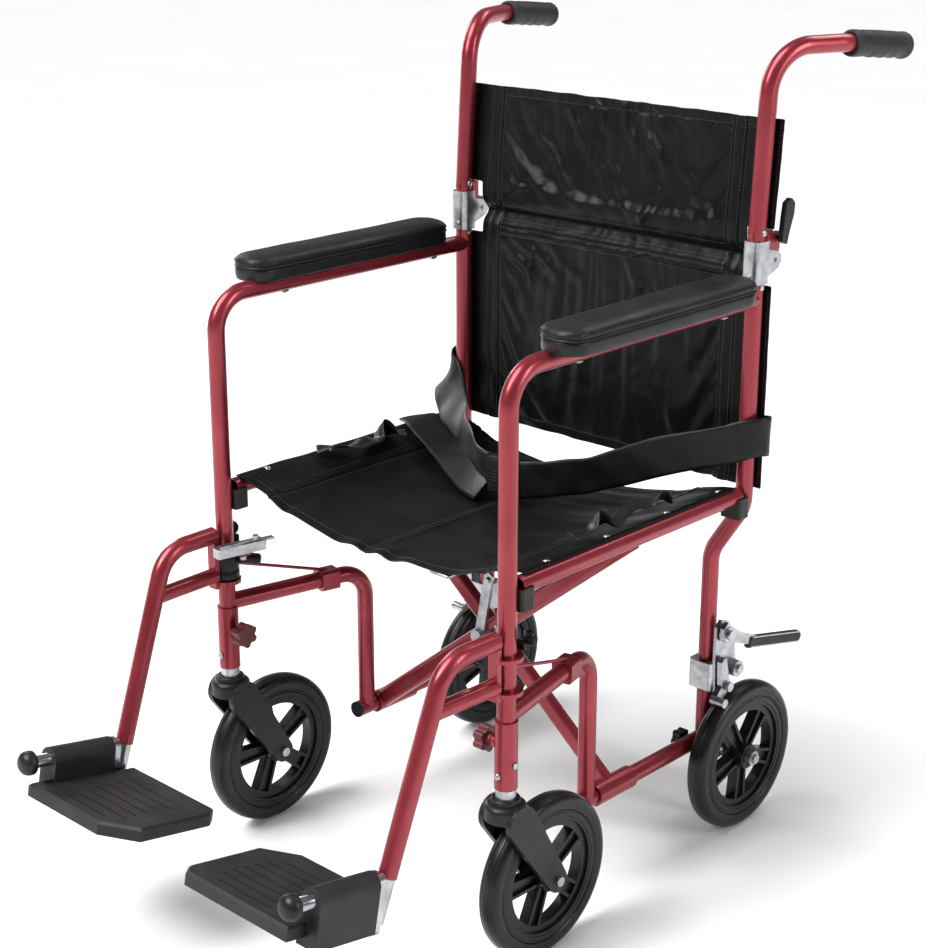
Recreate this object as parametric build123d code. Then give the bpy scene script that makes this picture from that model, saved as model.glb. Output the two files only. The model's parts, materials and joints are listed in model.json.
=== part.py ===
from build123d import *
from math import asin, atan2, cos, degrees, hypot, pi, radians, sin
import os

# Folding transport wheelchair. Millimetres, +Z up. The chair faces -Y and +X is the seated person's left.
# The origin is on the floor, on the mid-plane, at the middle of the chair's length.

# --- side frame ---
POST_X = 241.0  # centre-line of the front and back posts
RAIL_X = 195.0  # centre-line of the lower rail and of the rear post's lower leg
BACK_Y = 270.0  # back post
FRONT_Y = -171.0  # front post
BOW_Y = 28.0  # upright leg of the lower bow
BOW_Z = 330.0
LOW_Z = 130.0  # lower rail, which is also the cross brace's hinge line
SEAT_Z = 482.0  # seat rail
ARM_Z = 730.0
TUBE_R = 11.0
WALL = 1.5
ARM_BEND = 45.0
BOW_BEND = 36.0
JOG_TOP_Z = 464.0
JOG_LOW_Z = 393.0
JOG_BEND = 50.0
SLEEVE_R = 13.5
SLEEVE_LOW_Z = 241.0
SLEEVE_TOP_Z = 325.0
SLEEVE_STEP_Z = 284.0
KNOB_Z = 293.0
RUN = 0.05  # radial clearance of a running shaft
GAP = 0.3  # clearance between curved faces that move past each other

# --- back hinge and handle ---
HINGE_Z = 776.0
HINGE_BACK = 24.0  # the pivot stands this far behind the post's centre-line
HINGE_HALF = 26.0
TONGUE_TOP = HINGE_Z + 38.0
HANDLE_Z = 1028.0
HANDLE_START = (33.5, 99.0)  # outward, rearward of the cane's top
HANDLE_END = (46.0, 212.0)
HANDLE_DROP = 11.0
CANE_LEAN = 13.0
GRIP_R = 16.5
GRIP_LENGTH = 110.0

# --- wheels ---
WHEEL_R = 101.6
TYRE_WIDTH = 28.0
TYRE_HEIGHT = 20.0
RIM_R = 62.0
HUB_R = 17.0
HUB_WIDTH = 31.0
SPOKES = 5
CASTER_SPOKE = 50.0  # angle of a spoke from straight down
REAR_SPOKE = 68.0
AXLE_R = 5.0
CASTER_X = 241.0
CASTER_Y = -105.0
CROWN_Z = (203.0, 229.0)
STEM_R = 8.0
REAR_WHEEL_X = 227.0
REAR_WHEEL_Y = 308.0
REAR_AXLE_R = 6.0

# --- legrest ---
COLLAR_Z = (361.0, 402.0)
HANGER_Z = 426.0
STRUT_Z = 372.0
ELBOW_Y = -268.0
LEG_END = (232.0, -351.0, 199.0)
EXTENSION_R = 9.4
PIN_X = 232.0
PIN_Y = -420.0
PIN_Z = 209.0
PIN_TILT = 11.0
PIN_R = 8.0
BARREL_R = 15.0
PLATE_TOP = -24.0  # top of the footplate, below the hinge pin
PLATE_THICK = 16.0
PLATE_FRONT = -69.0
PLATE_REAR = 77.0
PLATE_INNER = -180.0
GROOVES = 7

# --- brake ---
LEVER_Y = 270.0
LEVER_Z = 285.0
SHOE_Y = 272.0
SHOE_Z = 212.0
SHOE_BAR = (-22.0, -14.0)  # cross bar's centre from the shoe's pivot, along Y and Z
SHOE_BAR_R = 6.0
BOSS = (293.0, 230.0)  # clamp bolt's head, along Y and Z
LEVER_GRIP = ((326.0, 257.0), (430.0, 232.0))  # ends of the dipped grip's centre-line

# --- cross brace ---
BRACE_Y_A = 74.0
BRACE_Y_B = 55.0
BRACE_DEEP = 25.0
BRACE_THICK = 15.0
BRACE_SHORT = 8.5  # the bar ends this far before the seat rail's centre-line
SLEEVE_Y = (42.0, 112.0)  # hinge sleeve on the lower rail
SEAT_RAIL_FRONT = -155.0
SEAT_RAIL_REAR = 254.0
BRACE_SLOPE = (SEAT_Z - LOW_Z) / (POST_X + RAIL_X)
CROSS_Z = LOW_Z + RAIL_X * BRACE_SLOPE
LINK_LENGTH = 92.0
LINK_LEAN = 11.0

# --- soft parts ---
CLOTH = 2.5
PAD_X = (221.5, 284.5)  # the pad stands further out than the arm tube
PAD_Y = (-117.0, 232.0)
PAD_Z = (737.5, 754.0, 770.0)  # underside, joint between base and cover, top
BACK_CLOTH_Y = BACK_Y + TUBE_R + 0.4
BACK_EDGE_X = 257.0


def tube(points, bend=40.0, outer=TUBE_R, inner=TUBE_R - WALL):
    """A round tube along straight runs joined by bends of one radius."""
    if len(points) > 2:
        path = FilletPolyline(*points, radius=bend)
    else:
        path = Line(*points)
    ring = Plane(origin=path @ 0, z_dir=path % 0) * Circle(outer)
    if inner:
        ring -= Plane(origin=path @ 0, z_dir=path % 0) * Circle(inner)
    return sweep(ring, path=path)


def rod(start, end, radius):
    """A solid round bar between two points."""
    return tube([start, end], outer=radius, inner=0)


def ring(x, y, z_low, z_high, outer, inner):
    """An upright ring."""
    height = z_high - z_low
    place = Pos(x, y, (z_low + z_high) / 2)
    return place * (Cylinder(outer, height) - Cylinder(inner, height))


def post_core(x, y, z_low, z_high, radius=TUBE_R):
    """The solid bar an upright post occupies, used to trim what is welded to it."""
    return Pos(x, y, (z_low + z_high) / 2) * Cylinder(radius, z_high - z_low)


def block(x, y, z):
    """A box given by its low and high limits on each axis."""
    size = (x[1] - x[0], y[1] - y[0], z[1] - z[0])
    place = Pos((x[0] + x[1]) / 2, (y[0] + y[1]) / 2, (z[0] + z[1]) / 2)
    return place * Box(*size)


def side_slab(points, x_low, x_high):
    """A slab whose outline is given as (y, z) points and whose faces stand across X."""
    outline = Plane.YZ.offset(x_low) * make_face(Polyline(*points, close=True))
    return extrude(outline, amount=x_high - x_low)


def front_slab(points, y_low, y_high):
    """A slab whose outline is given as (x, z) points and whose faces stand across Y."""
    outline = Plane(origin=(0, y_high, 0), x_dir=(1, 0, 0), z_dir=(0, -1, 0))
    return extrude(outline * make_face(Polyline(*points, close=True)), amount=y_high - y_low)


def group(parts):
    """Separate solids kept in one node."""
    solids = []
    for part in parts:
        solids += part.solids()
    return Compound(solids)


# ---------------------------------------------------------------- side frame

LOW_RAIL_CORE = Pos(RAIL_X, 0, LOW_Z) * Rot(90, 0, 0) * Cylinder(TUBE_R, 800)


BACK_POST_PATH = [
    (POST_X, BACK_Y, HINGE_Z - 0.5),
    (POST_X, BACK_Y, JOG_TOP_Z),
    (RAIL_X, BACK_Y, JOG_LOW_Z),
    (RAIL_X, BACK_Y, LOW_Z),
]


def back_post():
    """Back post: upright at the seat, jogged inward below it, standing on the lower rail."""
    return tube(BACK_POST_PATH, bend=JOG_BEND) - LOW_RAIL_CORE


def arm_tube():
    """Front post and armrest in one bent tube, coped against the back post."""
    bent = tube(
        [
            (POST_X, FRONT_Y, SLEEVE_STEP_Z),
            (POST_X, FRONT_Y, ARM_Z),
            (POST_X, BACK_Y, ARM_Z),
        ],
        bend=ARM_BEND,
    )
    return bent - post_core(POST_X, BACK_Y, ARM_Z - 40, ARM_Z + 40)


def lower_bow():
    """Bow from the front post down to the lower rail, with the caster sleeve and the knob's boss."""
    bow = tube(
        [
            (POST_X, FRONT_Y, BOW_Z),
            (RAIL_X, BOW_Y, BOW_Z),
            (RAIL_X, BOW_Y, LOW_Z),
        ],
        bend=BOW_BEND,
    )
    sleeve = ring(POST_X, FRONT_Y, SLEEVE_STEP_Z, SLEEVE_TOP_Z, SLEEVE_R, TUBE_R)
    sleeve += ring(POST_X, FRONT_Y, SLEEVE_LOW_Z, SLEEVE_STEP_Z, SLEEVE_R, STEM_R + RUN)
    boss = rod((POST_X - 5, FRONT_Y, KNOB_Z), (POST_X - 19, FRONT_Y, KNOB_Z), 7.0)
    run = Vector(RAIL_X - POST_X, BOW_Y - FRONT_Y, 0).normalized()
    middle = Vector(RAIL_X, BOW_Y, BOW_Z) - run * 58
    turn = degrees(atan2(run.Y, run.X))
    clamp = Pos(middle.X, middle.Y, middle.Z) * Rot(0, 0, turn) * Box(26, 27, 27)
    clamp = fillet(clamp.edges().filter_by(Axis((0, 0, 0), (run.X, run.Y, 0))), 5)
    bore = rod((POST_X, FRONT_Y, BOW_Z), (RAIL_X, BOW_Y, BOW_Z), TUBE_R - WALL)
    stay = rod((POST_X - 8, FRONT_Y + 8, 384), (middle.X, middle.Y, middle.Z + 12), 2.2)
    post = post_core(POST_X, FRONT_Y, SLEEVE_LOW_Z, 460)
    bow -= post_core(POST_X, FRONT_Y, SLEEVE_LOW_Z, 460, TUBE_R + 0.02)
    solid = bow + sleeve + (boss - post) + (clamp - bore) + (stay - bore - post)
    solid -= rod((POST_X - 12, FRONT_Y, KNOB_Z), (POST_X - 20, FRONT_Y, KNOB_Z), 3.05)
    return solid - LOW_RAIL_CORE


def lower_rail():
    """Lower rail, with the plate under its rear end that carries the rear axle."""
    rail = tube([(RAIL_X, BOW_Y - 16, LOW_Z), (RAIL_X, REAR_WHEEL_Y + 12, LOW_Z)])
    plate = side_slab(
        [
            (REAR_WHEEL_Y - 26, LOW_Z - 2),
            (REAR_WHEEL_Y - 13, WHEEL_R - 15),
            (REAR_WHEEL_Y + 13, WHEEL_R - 15),
            (REAR_WHEEL_Y + 17, LOW_Z - 2),
        ],
        RAIL_X - 3,
        RAIL_X + 3,
    )
    bore = rod((RAIL_X, BOW_Y - 40, LOW_Z), (RAIL_X, REAR_WHEEL_Y + 40, LOW_Z), TUBE_R - WALL)
    hole = rod((RAIL_X - 9, REAR_WHEEL_Y, WHEEL_R), (RAIL_X + 9, REAR_WHEEL_Y, WHEEL_R), REAR_AXLE_R)
    return rail + (plate - bore) - hole


def frame_plastics():
    """Black mouldings: the two seat-rail saddles, the lower rail's front plug and its rear star nut."""
    pieces = []
    front_post = post_core(POST_X, FRONT_Y, SEAT_Z - 60, SEAT_Z + 60)
    rear_post = tube(BACK_POST_PATH, bend=JOG_BEND, inner=0)
    for post_y, toward, post in ((FRONT_Y, 1, front_post), (BACK_Y, -1, rear_post)):
        face = post_y + toward * 8
        far = post_y + toward * 30
        low, high = min(face, far), max(face, far)
        saddle = block((POST_X - 15, POST_X + 15), (low, high), (SEAT_Z - 26, SEAT_Z))
        saddle = fillet(saddle.edges().filter_by(Axis.Z), 4)
        groove = Pos(POST_X, post_y, SEAT_Z) * Rot(90, 0, 0) * Cylinder(TUBE_R + GAP, 100)
        pieces.append(saddle - groove - post)
    plug_y = BOW_Y - 16
    plug = rod((RAIL_X, plug_y - 4, LOW_Z), (RAIL_X, plug_y, LOW_Z), TUBE_R)
    plug += rod((RAIL_X, plug_y, LOW_Z), (RAIL_X, plug_y + 12, LOW_Z), TUBE_R - WALL)
    pieces.append(plug)
    star = Pos(RAIL_X - TUBE_R - 7, BACK_Y - 26, LOW_Z) * Rot(0, 90, 0) * lobed(13, 5, 12)
    stud = rod((RAIL_X - TUBE_R - 1, BACK_Y - 26, LOW_Z), (RAIL_X - TUBE_R - 3, BACK_Y - 26, LOW_Z), 5)
    pieces.append(star + stud)
    return group(pieces)


def lobed(radius, lobes, height):
    """A knob with round lobes, standing on Z."""
    body = Cylinder(radius * 0.78, height)
    for n in range(lobes):
        body += Rot(0, 0, 360 / lobes * n) * Pos(radius * 0.72, 0, 0) * Cylinder(radius * 0.3, height)
    return body


def clamp_knob():
    """Six-lobed hand knob that pinches the caster sleeve, with its stud."""
    stud = rod((POST_X - 14, FRONT_Y, KNOB_Z), (POST_X - 26, FRONT_Y, KNOB_Z), 3.0)
    head = Pos(POST_X - 31, FRONT_Y, KNOB_Z) * Rot(0, -90, 0) * lobed(16, 6, 13)
    washer = rod((POST_X - 19.3, FRONT_Y, KNOB_Z), (POST_X - 25, FRONT_Y, KNOB_Z), 8)
    return stud + head + washer


def hinge_channel():
    """Folded steel channel round the post's top, open to the rear, with ears for the back's pivot."""
    half = TUBE_R + GAP + 2.0
    low, high = HINGE_Z - HINGE_HALF, HINGE_Z + HINGE_HALF
    shell = block((POST_X - half, POST_X + half), (BACK_Y - half, BACK_Y + 8), (low, high))
    shell = fillet(shell.edges().filter_by(Axis.Z).group_by(Axis.Y)[0], 9)
    back = BACK_Y + HINGE_BACK
    for ear_x in ((POST_X - half, POST_X - half + 2), (POST_X + half - 2, POST_X + half)):
        shell += side_slab(
            [
                (BACK_Y + 6, HINGE_Z - 18),
                (back + 5, HINGE_Z - 10),
                (back + 10, HINGE_Z - 3),
                (back + 10, HINGE_Z + 6),
                (back + 2, HINGE_Z + 11),
                (BACK_Y + 6, HINGE_Z + 16),
            ],
            ear_x[0],
            ear_x[1],
        )
    inner = block((POST_X - half + 2, POST_X + half - 2), (BACK_Y, back + 20), (low - 1, high + 1))
    shell -= inner + post_core(POST_X, BACK_Y, low - 1, high + 1, TUBE_R + GAP)
    band = ring(POST_X, BACK_Y, low, low + 14, TUBE_R + 2, TUBE_R)
    pin = rod((POST_X - half - 2, back, HINGE_Z), (POST_X + half + 2, back, HINGE_Z), 3.0)
    rivet = rod((POST_X, BACK_Y - half - 2, low + 8), (POST_X, BACK_Y - TUBE_R, low + 8), 3.2)
    return shell + band + pin + rivet


def back_cane():
    """Back cane with its riveted hinge tongue, curving out and back into the handle."""
    top_y = BACK_Y + CANE_LEAN
    start = (POST_X + HANDLE_START[0], top_y + HANDLE_START[1], HANDLE_Z)
    end = (POST_X + HANDLE_END[0], top_y + HANDLE_END[1], HANDLE_Z - HANDLE_DROP)
    foot = (POST_X, BACK_Y, HINGE_Z + 0.5)
    knee = (POST_X, BACK_Y, HINGE_Z + 34)
    cane = tube([foot, knee, (POST_X, top_y, HANDLE_Z), start, end], bend=58.0)
    back = BACK_Y + HINGE_BACK
    tongue = block((POST_X - 10.8, POST_X + 10.8), (BACK_Y + 6, back + 8), (HINGE_Z + 0.5, TONGUE_TOP))
    tongue += rod((POST_X - 10.8, back, HINGE_Z), (POST_X + 10.8, back, HINGE_Z), 12.0)
    tongue -= block((0, 2 * POST_X), (BACK_Y + 17, back + 20), (HINGE_Z + 14, HINGE_Z + 60))
    tongue -= post_core(POST_X, BACK_Y, HINGE_Z - 40, HINGE_Z + 80, TUBE_R + GAP)
    tongue -= rod((POST_X - 30, back, HINGE_Z), (POST_X + 30, back, HINGE_Z), 3.0 + RUN)
    web = block((POST_X - 4, POST_X + 4), (BACK_Y + 9.6, BACK_Y + 14), (HINGE_Z + 20, TONGUE_TOP))
    rivet = rod((POST_X, BACK_Y - TUBE_R - 1.6, HINGE_Z + 33), (POST_X, BACK_Y - 9.8, HINGE_Z + 33), 3.2)
    return cane + tongue + web + rivet


def push_grip():
    """Rubber grip on the end of the handle."""
    top_y = BACK_Y + CANE_LEAN
    start = Vector(POST_X + HANDLE_START[0], top_y + HANDLE_START[1], HANDLE_Z)
    end = Vector(POST_X + HANDLE_END[0], top_y + HANDLE_END[1], HANDLE_Z - HANDLE_DROP)
    along = (end - start).normalized()
    first = end + along * 6 - along * GRIP_LENGTH
    last = end + along * 6
    sleeve = rod(tuple(first), tuple(last), GRIP_R)
    sleeve = fillet(sleeve.edges().filter_by(GeomType.CIRCLE), 5)
    core = rod(tuple(first - along * 30), tuple(end), TUBE_R)
    return sleeve - core


def back_release():
    """Leaf-shaped thumb lever beside the back hinge."""
    x = POST_X + TUBE_R + 7
    y = BACK_Y + HINGE_BACK + 3
    leaf = side_slab(
        [
            (y - 5, HINGE_Z + 24),
            (y + 5, HINGE_Z + 19),
            (y + 9, HINGE_Z + 34),
            (y + 17, HINGE_Z + 55),
            (y + 18, HINGE_Z + 68),
            (y + 11, HINGE_Z + 75),
            (y + 1, HINGE_Z + 70),
            (y - 2, HINGE_Z + 52),
        ],
        x - 3,
        x + 4,
    )
    leaf = fillet(leaf.edges().filter_by(Axis.X), 2.0)
    pin = rod((POST_X + TUBE_R - 0.1, y, HINGE_Z + 27), (x, y, HINGE_Z + 27), 3)
    return leaf + pin


def lever_lug():
    """Ear on the cane's tongue that the thumb lever turns on."""
    y = BACK_Y + HINGE_BACK + 3
    lug = block((POST_X + 4, POST_X + 10.8), (BACK_Y + 12, y + 6), (HINGE_Z + 13, HINGE_Z + 34))
    return lug - rod((POST_X, y, HINGE_Z + 27), (POST_X + 30, y, HINGE_Z + 27), 3 + RUN)


# ---------------------------------------------------------------- wheels


def tyre(x, y):
    """Solid tyre with a rounded tread, round an axle along X."""
    half = TYRE_WIDTH / 2
    inner = WHEEL_R - TYRE_HEIGHT
    section = make_face(
        Polyline(
            (inner, -half + 3),
            (inner + 6, -half),
            (WHEEL_R - 9, -half),
            (WHEEL_R - 3, -half + 5),
            (WHEEL_R, -3),
            (WHEEL_R, 3),
            (WHEEL_R - 3, half - 5),
            (WHEEL_R - 9, half),
            (inner + 6, half),
            (inner, half - 3),
            close=True,
        )
    )
    turned = revolve(Plane.XZ * section, Axis.Z)
    return Pos(x, y, WHEEL_R) * Rot(0, 90, 0) * turned


def rim(x, y, bore, first):
    """Moulded rim, hub and double-rib spokes, with its axle along X."""
    outer = WHEEL_R - TYRE_HEIGHT
    felloe = Cylinder(outer, 23) - Cylinder(RIM_R + 9, 23)
    felloe += Cylinder(RIM_R + 10, 16) - Cylinder(RIM_R, 16)
    hub = Cylinder(HUB_R, HUB_WIDTH)
    body = felloe + hub
    middle = (RIM_R + HUB_R) / 2
    length = RIM_R - HUB_R + 8
    for n in range(SPOKES):
        turn = Rot(0, 0, 360 / SPOKES * n + first)
        body += turn * Pos(middle, 0, 0) * Box(length, 20, 6)
        for side in (-1, 1):
            body += turn * Pos(middle, side * 8, 0) * Rot(0, 0, side * 3) * Box(length, 4, 15)
    body -= Cylinder(bore, HUB_WIDTH + 2)
    return Pos(x, y, WHEEL_R) * Rot(0, 90, 0) * body


def caster_fork():
    """Plastic fork: a crown under the frame and two prongs raked back to the axle."""
    low, high = CROWN_Z
    crown = post_core(CASTER_X, FRONT_Y, low, high - 6, 25.0)
    crown = fillet(crown.edges().filter_by(GeomType.CIRCLE).group_by(Axis.Z)[-1], 7)
    cap = post_core(CASTER_X, FRONT_Y, high - 12, high, 17.5)
    cap = fillet(cap.edges().filter_by(GeomType.CIRCLE).group_by(Axis.Z)[-1], 2.5)
    fork = crown + cap
    dy = CASTER_Y - FRONT_Y - 3
    dz = WHEEL_R - 201
    span = hypot(dy, dz)
    lean = atan2(dz, dy)
    flare = asin((22 - 15) / span)
    outline = []
    for centre_y, centre_z, radius, first, last in (
        (FRONT_Y + 3, 201.0, 22.0, lean + pi / 2 - flare, lean + 3 * pi / 2 + flare),
        (CASTER_Y, WHEEL_R, 15.0, lean - pi / 2 + flare, lean + pi / 2 - flare),
    ):
        for n in range(13):
            t = first + (last - first) * n / 12
            outline.append((centre_y + radius * cos(t), centre_z + radius * sin(t)))
    for x_low, x_high in ((-25, -17), (17, 25)):
        fork += side_slab(outline, CASTER_X + x_low, CASTER_X + x_high)
    fork -= post_core(CASTER_X, FRONT_Y, low - 1, high + 1, STEM_R)
    axle = (CASTER_Y, WHEEL_R)
    return fork - rod((CASTER_X - 40, *axle), (CASTER_X + 40, *axle), AXLE_R)


def caster_hardware():
    """Caster stem with its collar, and the axle bolt."""
    stem = post_core(CASTER_X, FRONT_Y, CROWN_Z[0], SLEEVE_STEP_Z - 3, STEM_R)
    collar = post_core(CASTER_X, FRONT_Y, CROWN_Z[1], SLEEVE_LOW_Z - 0.5, 12.0)
    bolt = rod((CASTER_X - 29, CASTER_Y, WHEEL_R), (CASTER_X + 29, CASTER_Y, WHEEL_R), AXLE_R)
    for near, far in ((-29, -25), (25, 29)):
        bolt += rod((CASTER_X + near, CASTER_Y, WHEEL_R), (CASTER_X + far, CASTER_Y, WHEEL_R), 6)
    return group([stem + collar, bolt])


def caster_tyre():
    """Front caster's tyre."""
    return tyre(CASTER_X, CASTER_Y)


def caster_rim():
    """Front caster's rim."""
    return rim(CASTER_X, CASTER_Y, AXLE_R + RUN, CASTER_SPOKE)


def rear_tyre():
    """Rear wheel's tyre."""
    return tyre(REAR_WHEEL_X, REAR_WHEEL_Y)


def rear_rim():
    """Rear wheel's rim."""
    return rim(REAR_WHEEL_X, REAR_WHEEL_Y, REAR_AXLE_R + RUN, REAR_SPOKE)


# ---------------------------------------------------------------- rear fittings and brake


def rear_fittings():
    """Rear axle with its nuts and spacer, and the brake's clamp and side plate."""
    y, z = REAR_WHEEL_Y, WHEEL_R
    hub = REAR_WHEEL_X + HUB_WIDTH / 2
    axle = rod((RAIL_X - 12, y, z), (hub + 13, y, z), REAR_AXLE_R)
    axle += rod((RAIL_X - 11, y, z), (RAIL_X - 3, y, z), 10)
    axle += rod((RAIL_X + 3, y, z), (REAR_WHEEL_X - HUB_WIDTH / 2 - 0.5, y, z), 9)
    axle += rod((hub + 0.5, y, z), (hub + 9, y, z), 10)
    clamp = block((RAIL_X - 17, RAIL_X + 20), (BACK_Y - 17, BACK_Y + 17), (205, 243))
    clamp = fillet(clamp.edges().filter_by(Axis.Z), 6)
    clamp -= post_core(RAIL_X, BACK_Y, 200, 250)
    plate = side_slab(
        [
            (SHOE_Y + 12, SHOE_Z - 8),
            (SHOE_Y + 15, BOSS[1] - 13),
            (BOSS[0] + 9, BOSS[1] - 8),
            (BOSS[0] + 10, BOSS[1] + 6),
            (BOSS[0] + 6, LEVER_Z - 24),
            (LEVER_Y + 15, LEVER_Z + 12),
            (LEVER_Y - 3, LEVER_Z + 18),
            (LEVER_Y - 12, LEVER_Z + 10),
            (LEVER_Y - 13, SHOE_Z + 38),
            (SHOE_Y - 13, SHOE_Z - 8),
        ],
        RAIL_X + 19,
        RAIL_X + 23,
    )
    x_low, x_high = RAIL_X + 21, RAIL_X + 39
    pins = rod((x_low, LEVER_Y, LEVER_Z), (x_high, LEVER_Y, LEVER_Z), 4)
    pins += rod((x_low, SHOE_Y, SHOE_Z), (x_high, SHOE_Y, SHOE_Z), 4)
    pins += rod((x_high - 3, LEVER_Y, LEVER_Z), (x_high, LEVER_Y, LEVER_Z), 6.5)
    pins += rod((x_high - 3, SHOE_Y, SHOE_Z), (x_high, SHOE_Y, SHOE_Z), 6.5)
    pins += rod((x_low, *BOSS), (x_high - 4, *BOSS), 11)
    pins += rod((x_high - 5, *BOSS), (x_high, *BOSS), 6)
    return group([axle, clamp + plate + pins])


def brake_lever():
    """Stamped toggle lever of the wheel lock, with its flat dipped grip."""
    x = RAIL_X + 30
    (first_y, first_z), (last_y, last_z) = LEVER_GRIP
    lean = atan2(last_z - first_z, last_y - first_y)
    arm = side_slab(
        [
            (LEVER_Y - 10, LEVER_Z - 6),
            (LEVER_Y - 2, LEVER_Z - 12),
            (LEVER_Y + 22, LEVER_Z - 19),
            (first_y + 12, first_z - 8.5),
            (first_y + 14, first_z + 3.5),
            (LEVER_Y + 30, LEVER_Z - 6),
            (LEVER_Y + 8, LEVER_Z + 9),
            (LEVER_Y - 1, LEVER_Z + 17),
            (LEVER_Y - 10, LEVER_Z + 10),
        ],
        x - 3,
        x + 3,
    )
    outline = []
    for centre_y, centre_z, start in ((first_y, first_z, lean + pi / 2), (last_y, last_z, lean - pi / 2)):
        for n in range(9):
            t = start + pi * n / 8
            outline.append((centre_y + 7.5 * cos(t), centre_z + 7.5 * sin(t)))
    grip = side_slab(outline, x - 4.5, x + 4.5)
    ears = rod((x - 4.2, LEVER_Y, LEVER_Z), (x + 4.2, LEVER_Y, LEVER_Z), 10)
    hole = rod((x - 20, LEVER_Y, LEVER_Z), (x + 20, LEVER_Y, LEVER_Z), 4 + RUN)
    return arm + grip + ears - hole


def brake_shoe():
    """Swinging arm and cross bar that press on the tyre."""
    x = RAIL_X + 29
    arm = side_slab(
        [
            (SHOE_Y + 9, SHOE_Z + 1),
            (SHOE_Y + 5, SHOE_Z - 8),
            (SHOE_Y - 20, SHOE_Z - 19),
            (SHOE_Y - 25, SHOE_Z - 18.5),
            (SHOE_Y - 27, SHOE_Z - 13),
            (SHOE_Y - 11, SHOE_Z + 3),
            (SHOE_Y - 13, SHOE_Z + 36),
            (SHOE_Y - 9, SHOE_Z + 41),
            (SHOE_Y - 3, SHOE_Z + 40),
            (SHOE_Y + 4, SHOE_Z + 9),
        ],
        x - 4,
        x + 4,
    )
    bar_y, bar_z = SHOE_Y + SHOE_BAR[0], SHOE_Z + SHOE_BAR[1]
    bar = rod((x - 3, bar_y, bar_z), (x + 18, bar_y, bar_z), SHOE_BAR_R)
    hole = rod((x - 20, SHOE_Y, SHOE_Z), (x + 20, SHOE_Y, SHOE_Z), 4 + RUN)
    return arm + bar - hole


# ---------------------------------------------------------------- legrest


def legrest_hanger():
    """Swing-away hanger: two rings on the front post, a bent tube and its strut."""
    low, high = COLLAR_Z
    x, y = POST_X, FRONT_Y
    hanger = block((x - 7, x + 7), (y - 23, y - 16.5), (low - 6, HANGER_Z + 8))
    for z in (low, high):
        hanger += post_core(x, y, z - 2.5, z + 2.5, 19)
    lug = block((x - 33, x - 12), (y + 0, y + 14), (high - 2.5, high + 2.5))
    hanger += lug
    hanger -= post_core(x, y, low - 30, HANGER_Z + 30, TUBE_R + GAP)
    hanger -= rod((x - 26, y + 7, high - 9), (x - 26, y + 7, high + 9), 3 + RUN)
    hub_y = y - 19
    bent = [(x, hub_y, HANGER_Z), (x - 2, ELBOW_Y, HANGER_Z), LEG_END]
    outer = tube(bent, bend=45, inner=0)
    share = (HANGER_Z - STRUT_Z) / (HANGER_Z - LEG_END[2])
    leg_y = ELBOW_Y + (LEG_END[1] - ELBOW_Y) * share
    strut_end = (x - 2 - 7 * share, leg_y, STRUT_Z)
    strut = rod((x, hub_y, STRUT_Z), strut_end, 10)
    hollow = tube(bent, bend=45, outer=TUBE_R - WALL, inner=0)
    strut_hollow = rod((x, hub_y - 5, STRUT_Z), strut_end, 8.5)
    return hanger + (outer + strut - hollow - strut_hollow)


def hanger_latch():
    """Spring latch on the hanger's inner side: a folded channel with its pivot pin, catch pin and tab."""
    x, y, z = POST_X, FRONT_Y, COLLAR_Z[1]
    front = Vector(x - 22, y - 34)
    rear = Vector(x - 36, y + 34)
    along = (rear - front).normalized()
    side = Vector(along.Y, -along.X)

    def plan(half, trim):
        a, b = front + along * trim, rear - along * trim
        return [a + side * half, b + side * half, b - side * half, a - side * half]

    def slab(half, trim, low, high):
        points = [(p.X, p.Y) for p in plan(half, trim)]
        return extrude(Plane.XY.offset(low) * make_face(Polyline(*points, close=True)), amount=high - low)

    shell = slab(8, 0, z + 3, z + 15.5)
    shell = fillet(shell.edges().filter_by(Axis.Z), 3)
    shell -= slab(5.8, 2.4, z + 2, z + 13)
    pin = rod((x - 26, y + 7, z - 8), (x - 26, y + 7, z + 14), 3)
    pin += rod((x - 26, y + 7, z - 8), (x - 26, y + 7, z - 3), 5)
    strip = slab(4, 5, z + 15, z + 17.5)
    catch = rear - along * 12
    head = rod((catch.X, catch.Y, z + 17), (catch.X, catch.Y, z + 22), 4)
    tab_at = rear + along * 5
    tab = Pos(tab_at.X, tab_at.Y, z + 14) * Rot(0, 0, degrees(atan2(along.Y, along.X))) * Box(16, 9, 3)
    return shell + pin + strip + head + tab


def leg_direction():
    """Unit vector down the leg tube."""
    return (Vector(*LEG_END) - Vector(POST_X - 2, ELBOW_Y, HANGER_Z)).normalized()


def legrest_extension():
    """Plated inner tube with the end plate that holds the footplate's pin."""
    down = leg_direction()
    end = Vector(*LEG_END)
    top = end - down * 130
    foot = end + down * 52
    inner = rod(tuple(top), tuple(foot), EXTENSION_R) - rod(tuple(top), tuple(end), EXTENSION_R - 1.5)
    local = pin_place()
    plate = local * block((-12, 12), (46.5, 56), (-58, 12))
    plate = fillet(plate.edges().filter_by(Axis(local.position, local.y_axis.direction)), 7)
    inner -= local * block((-30, 30), (-60, 46.5), (-90, 40))
    hole = local * rod((0, 40, 0), (0, 58, 0), PIN_R + RUN)
    return inner + plate - hole


def pin_place():
    """Frame on the footplate's pin: Y runs back along the pin and Z stands square to it."""
    return Location((PIN_X, PIN_Y, PIN_Z), (-PIN_TILT, 0, 0))


def footplate_pin():
    """Plated hinge pin with the domed cap on its front end."""
    pin = rod((0, -66, 0), (0, 55, 0), PIN_R)
    cap = rod((0, -82, 0), (0, -66, 0), 15)
    cap = fillet(cap.edges().filter_by(GeomType.CIRCLE), 5)
    return pin_place() * (pin + cap)


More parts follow.
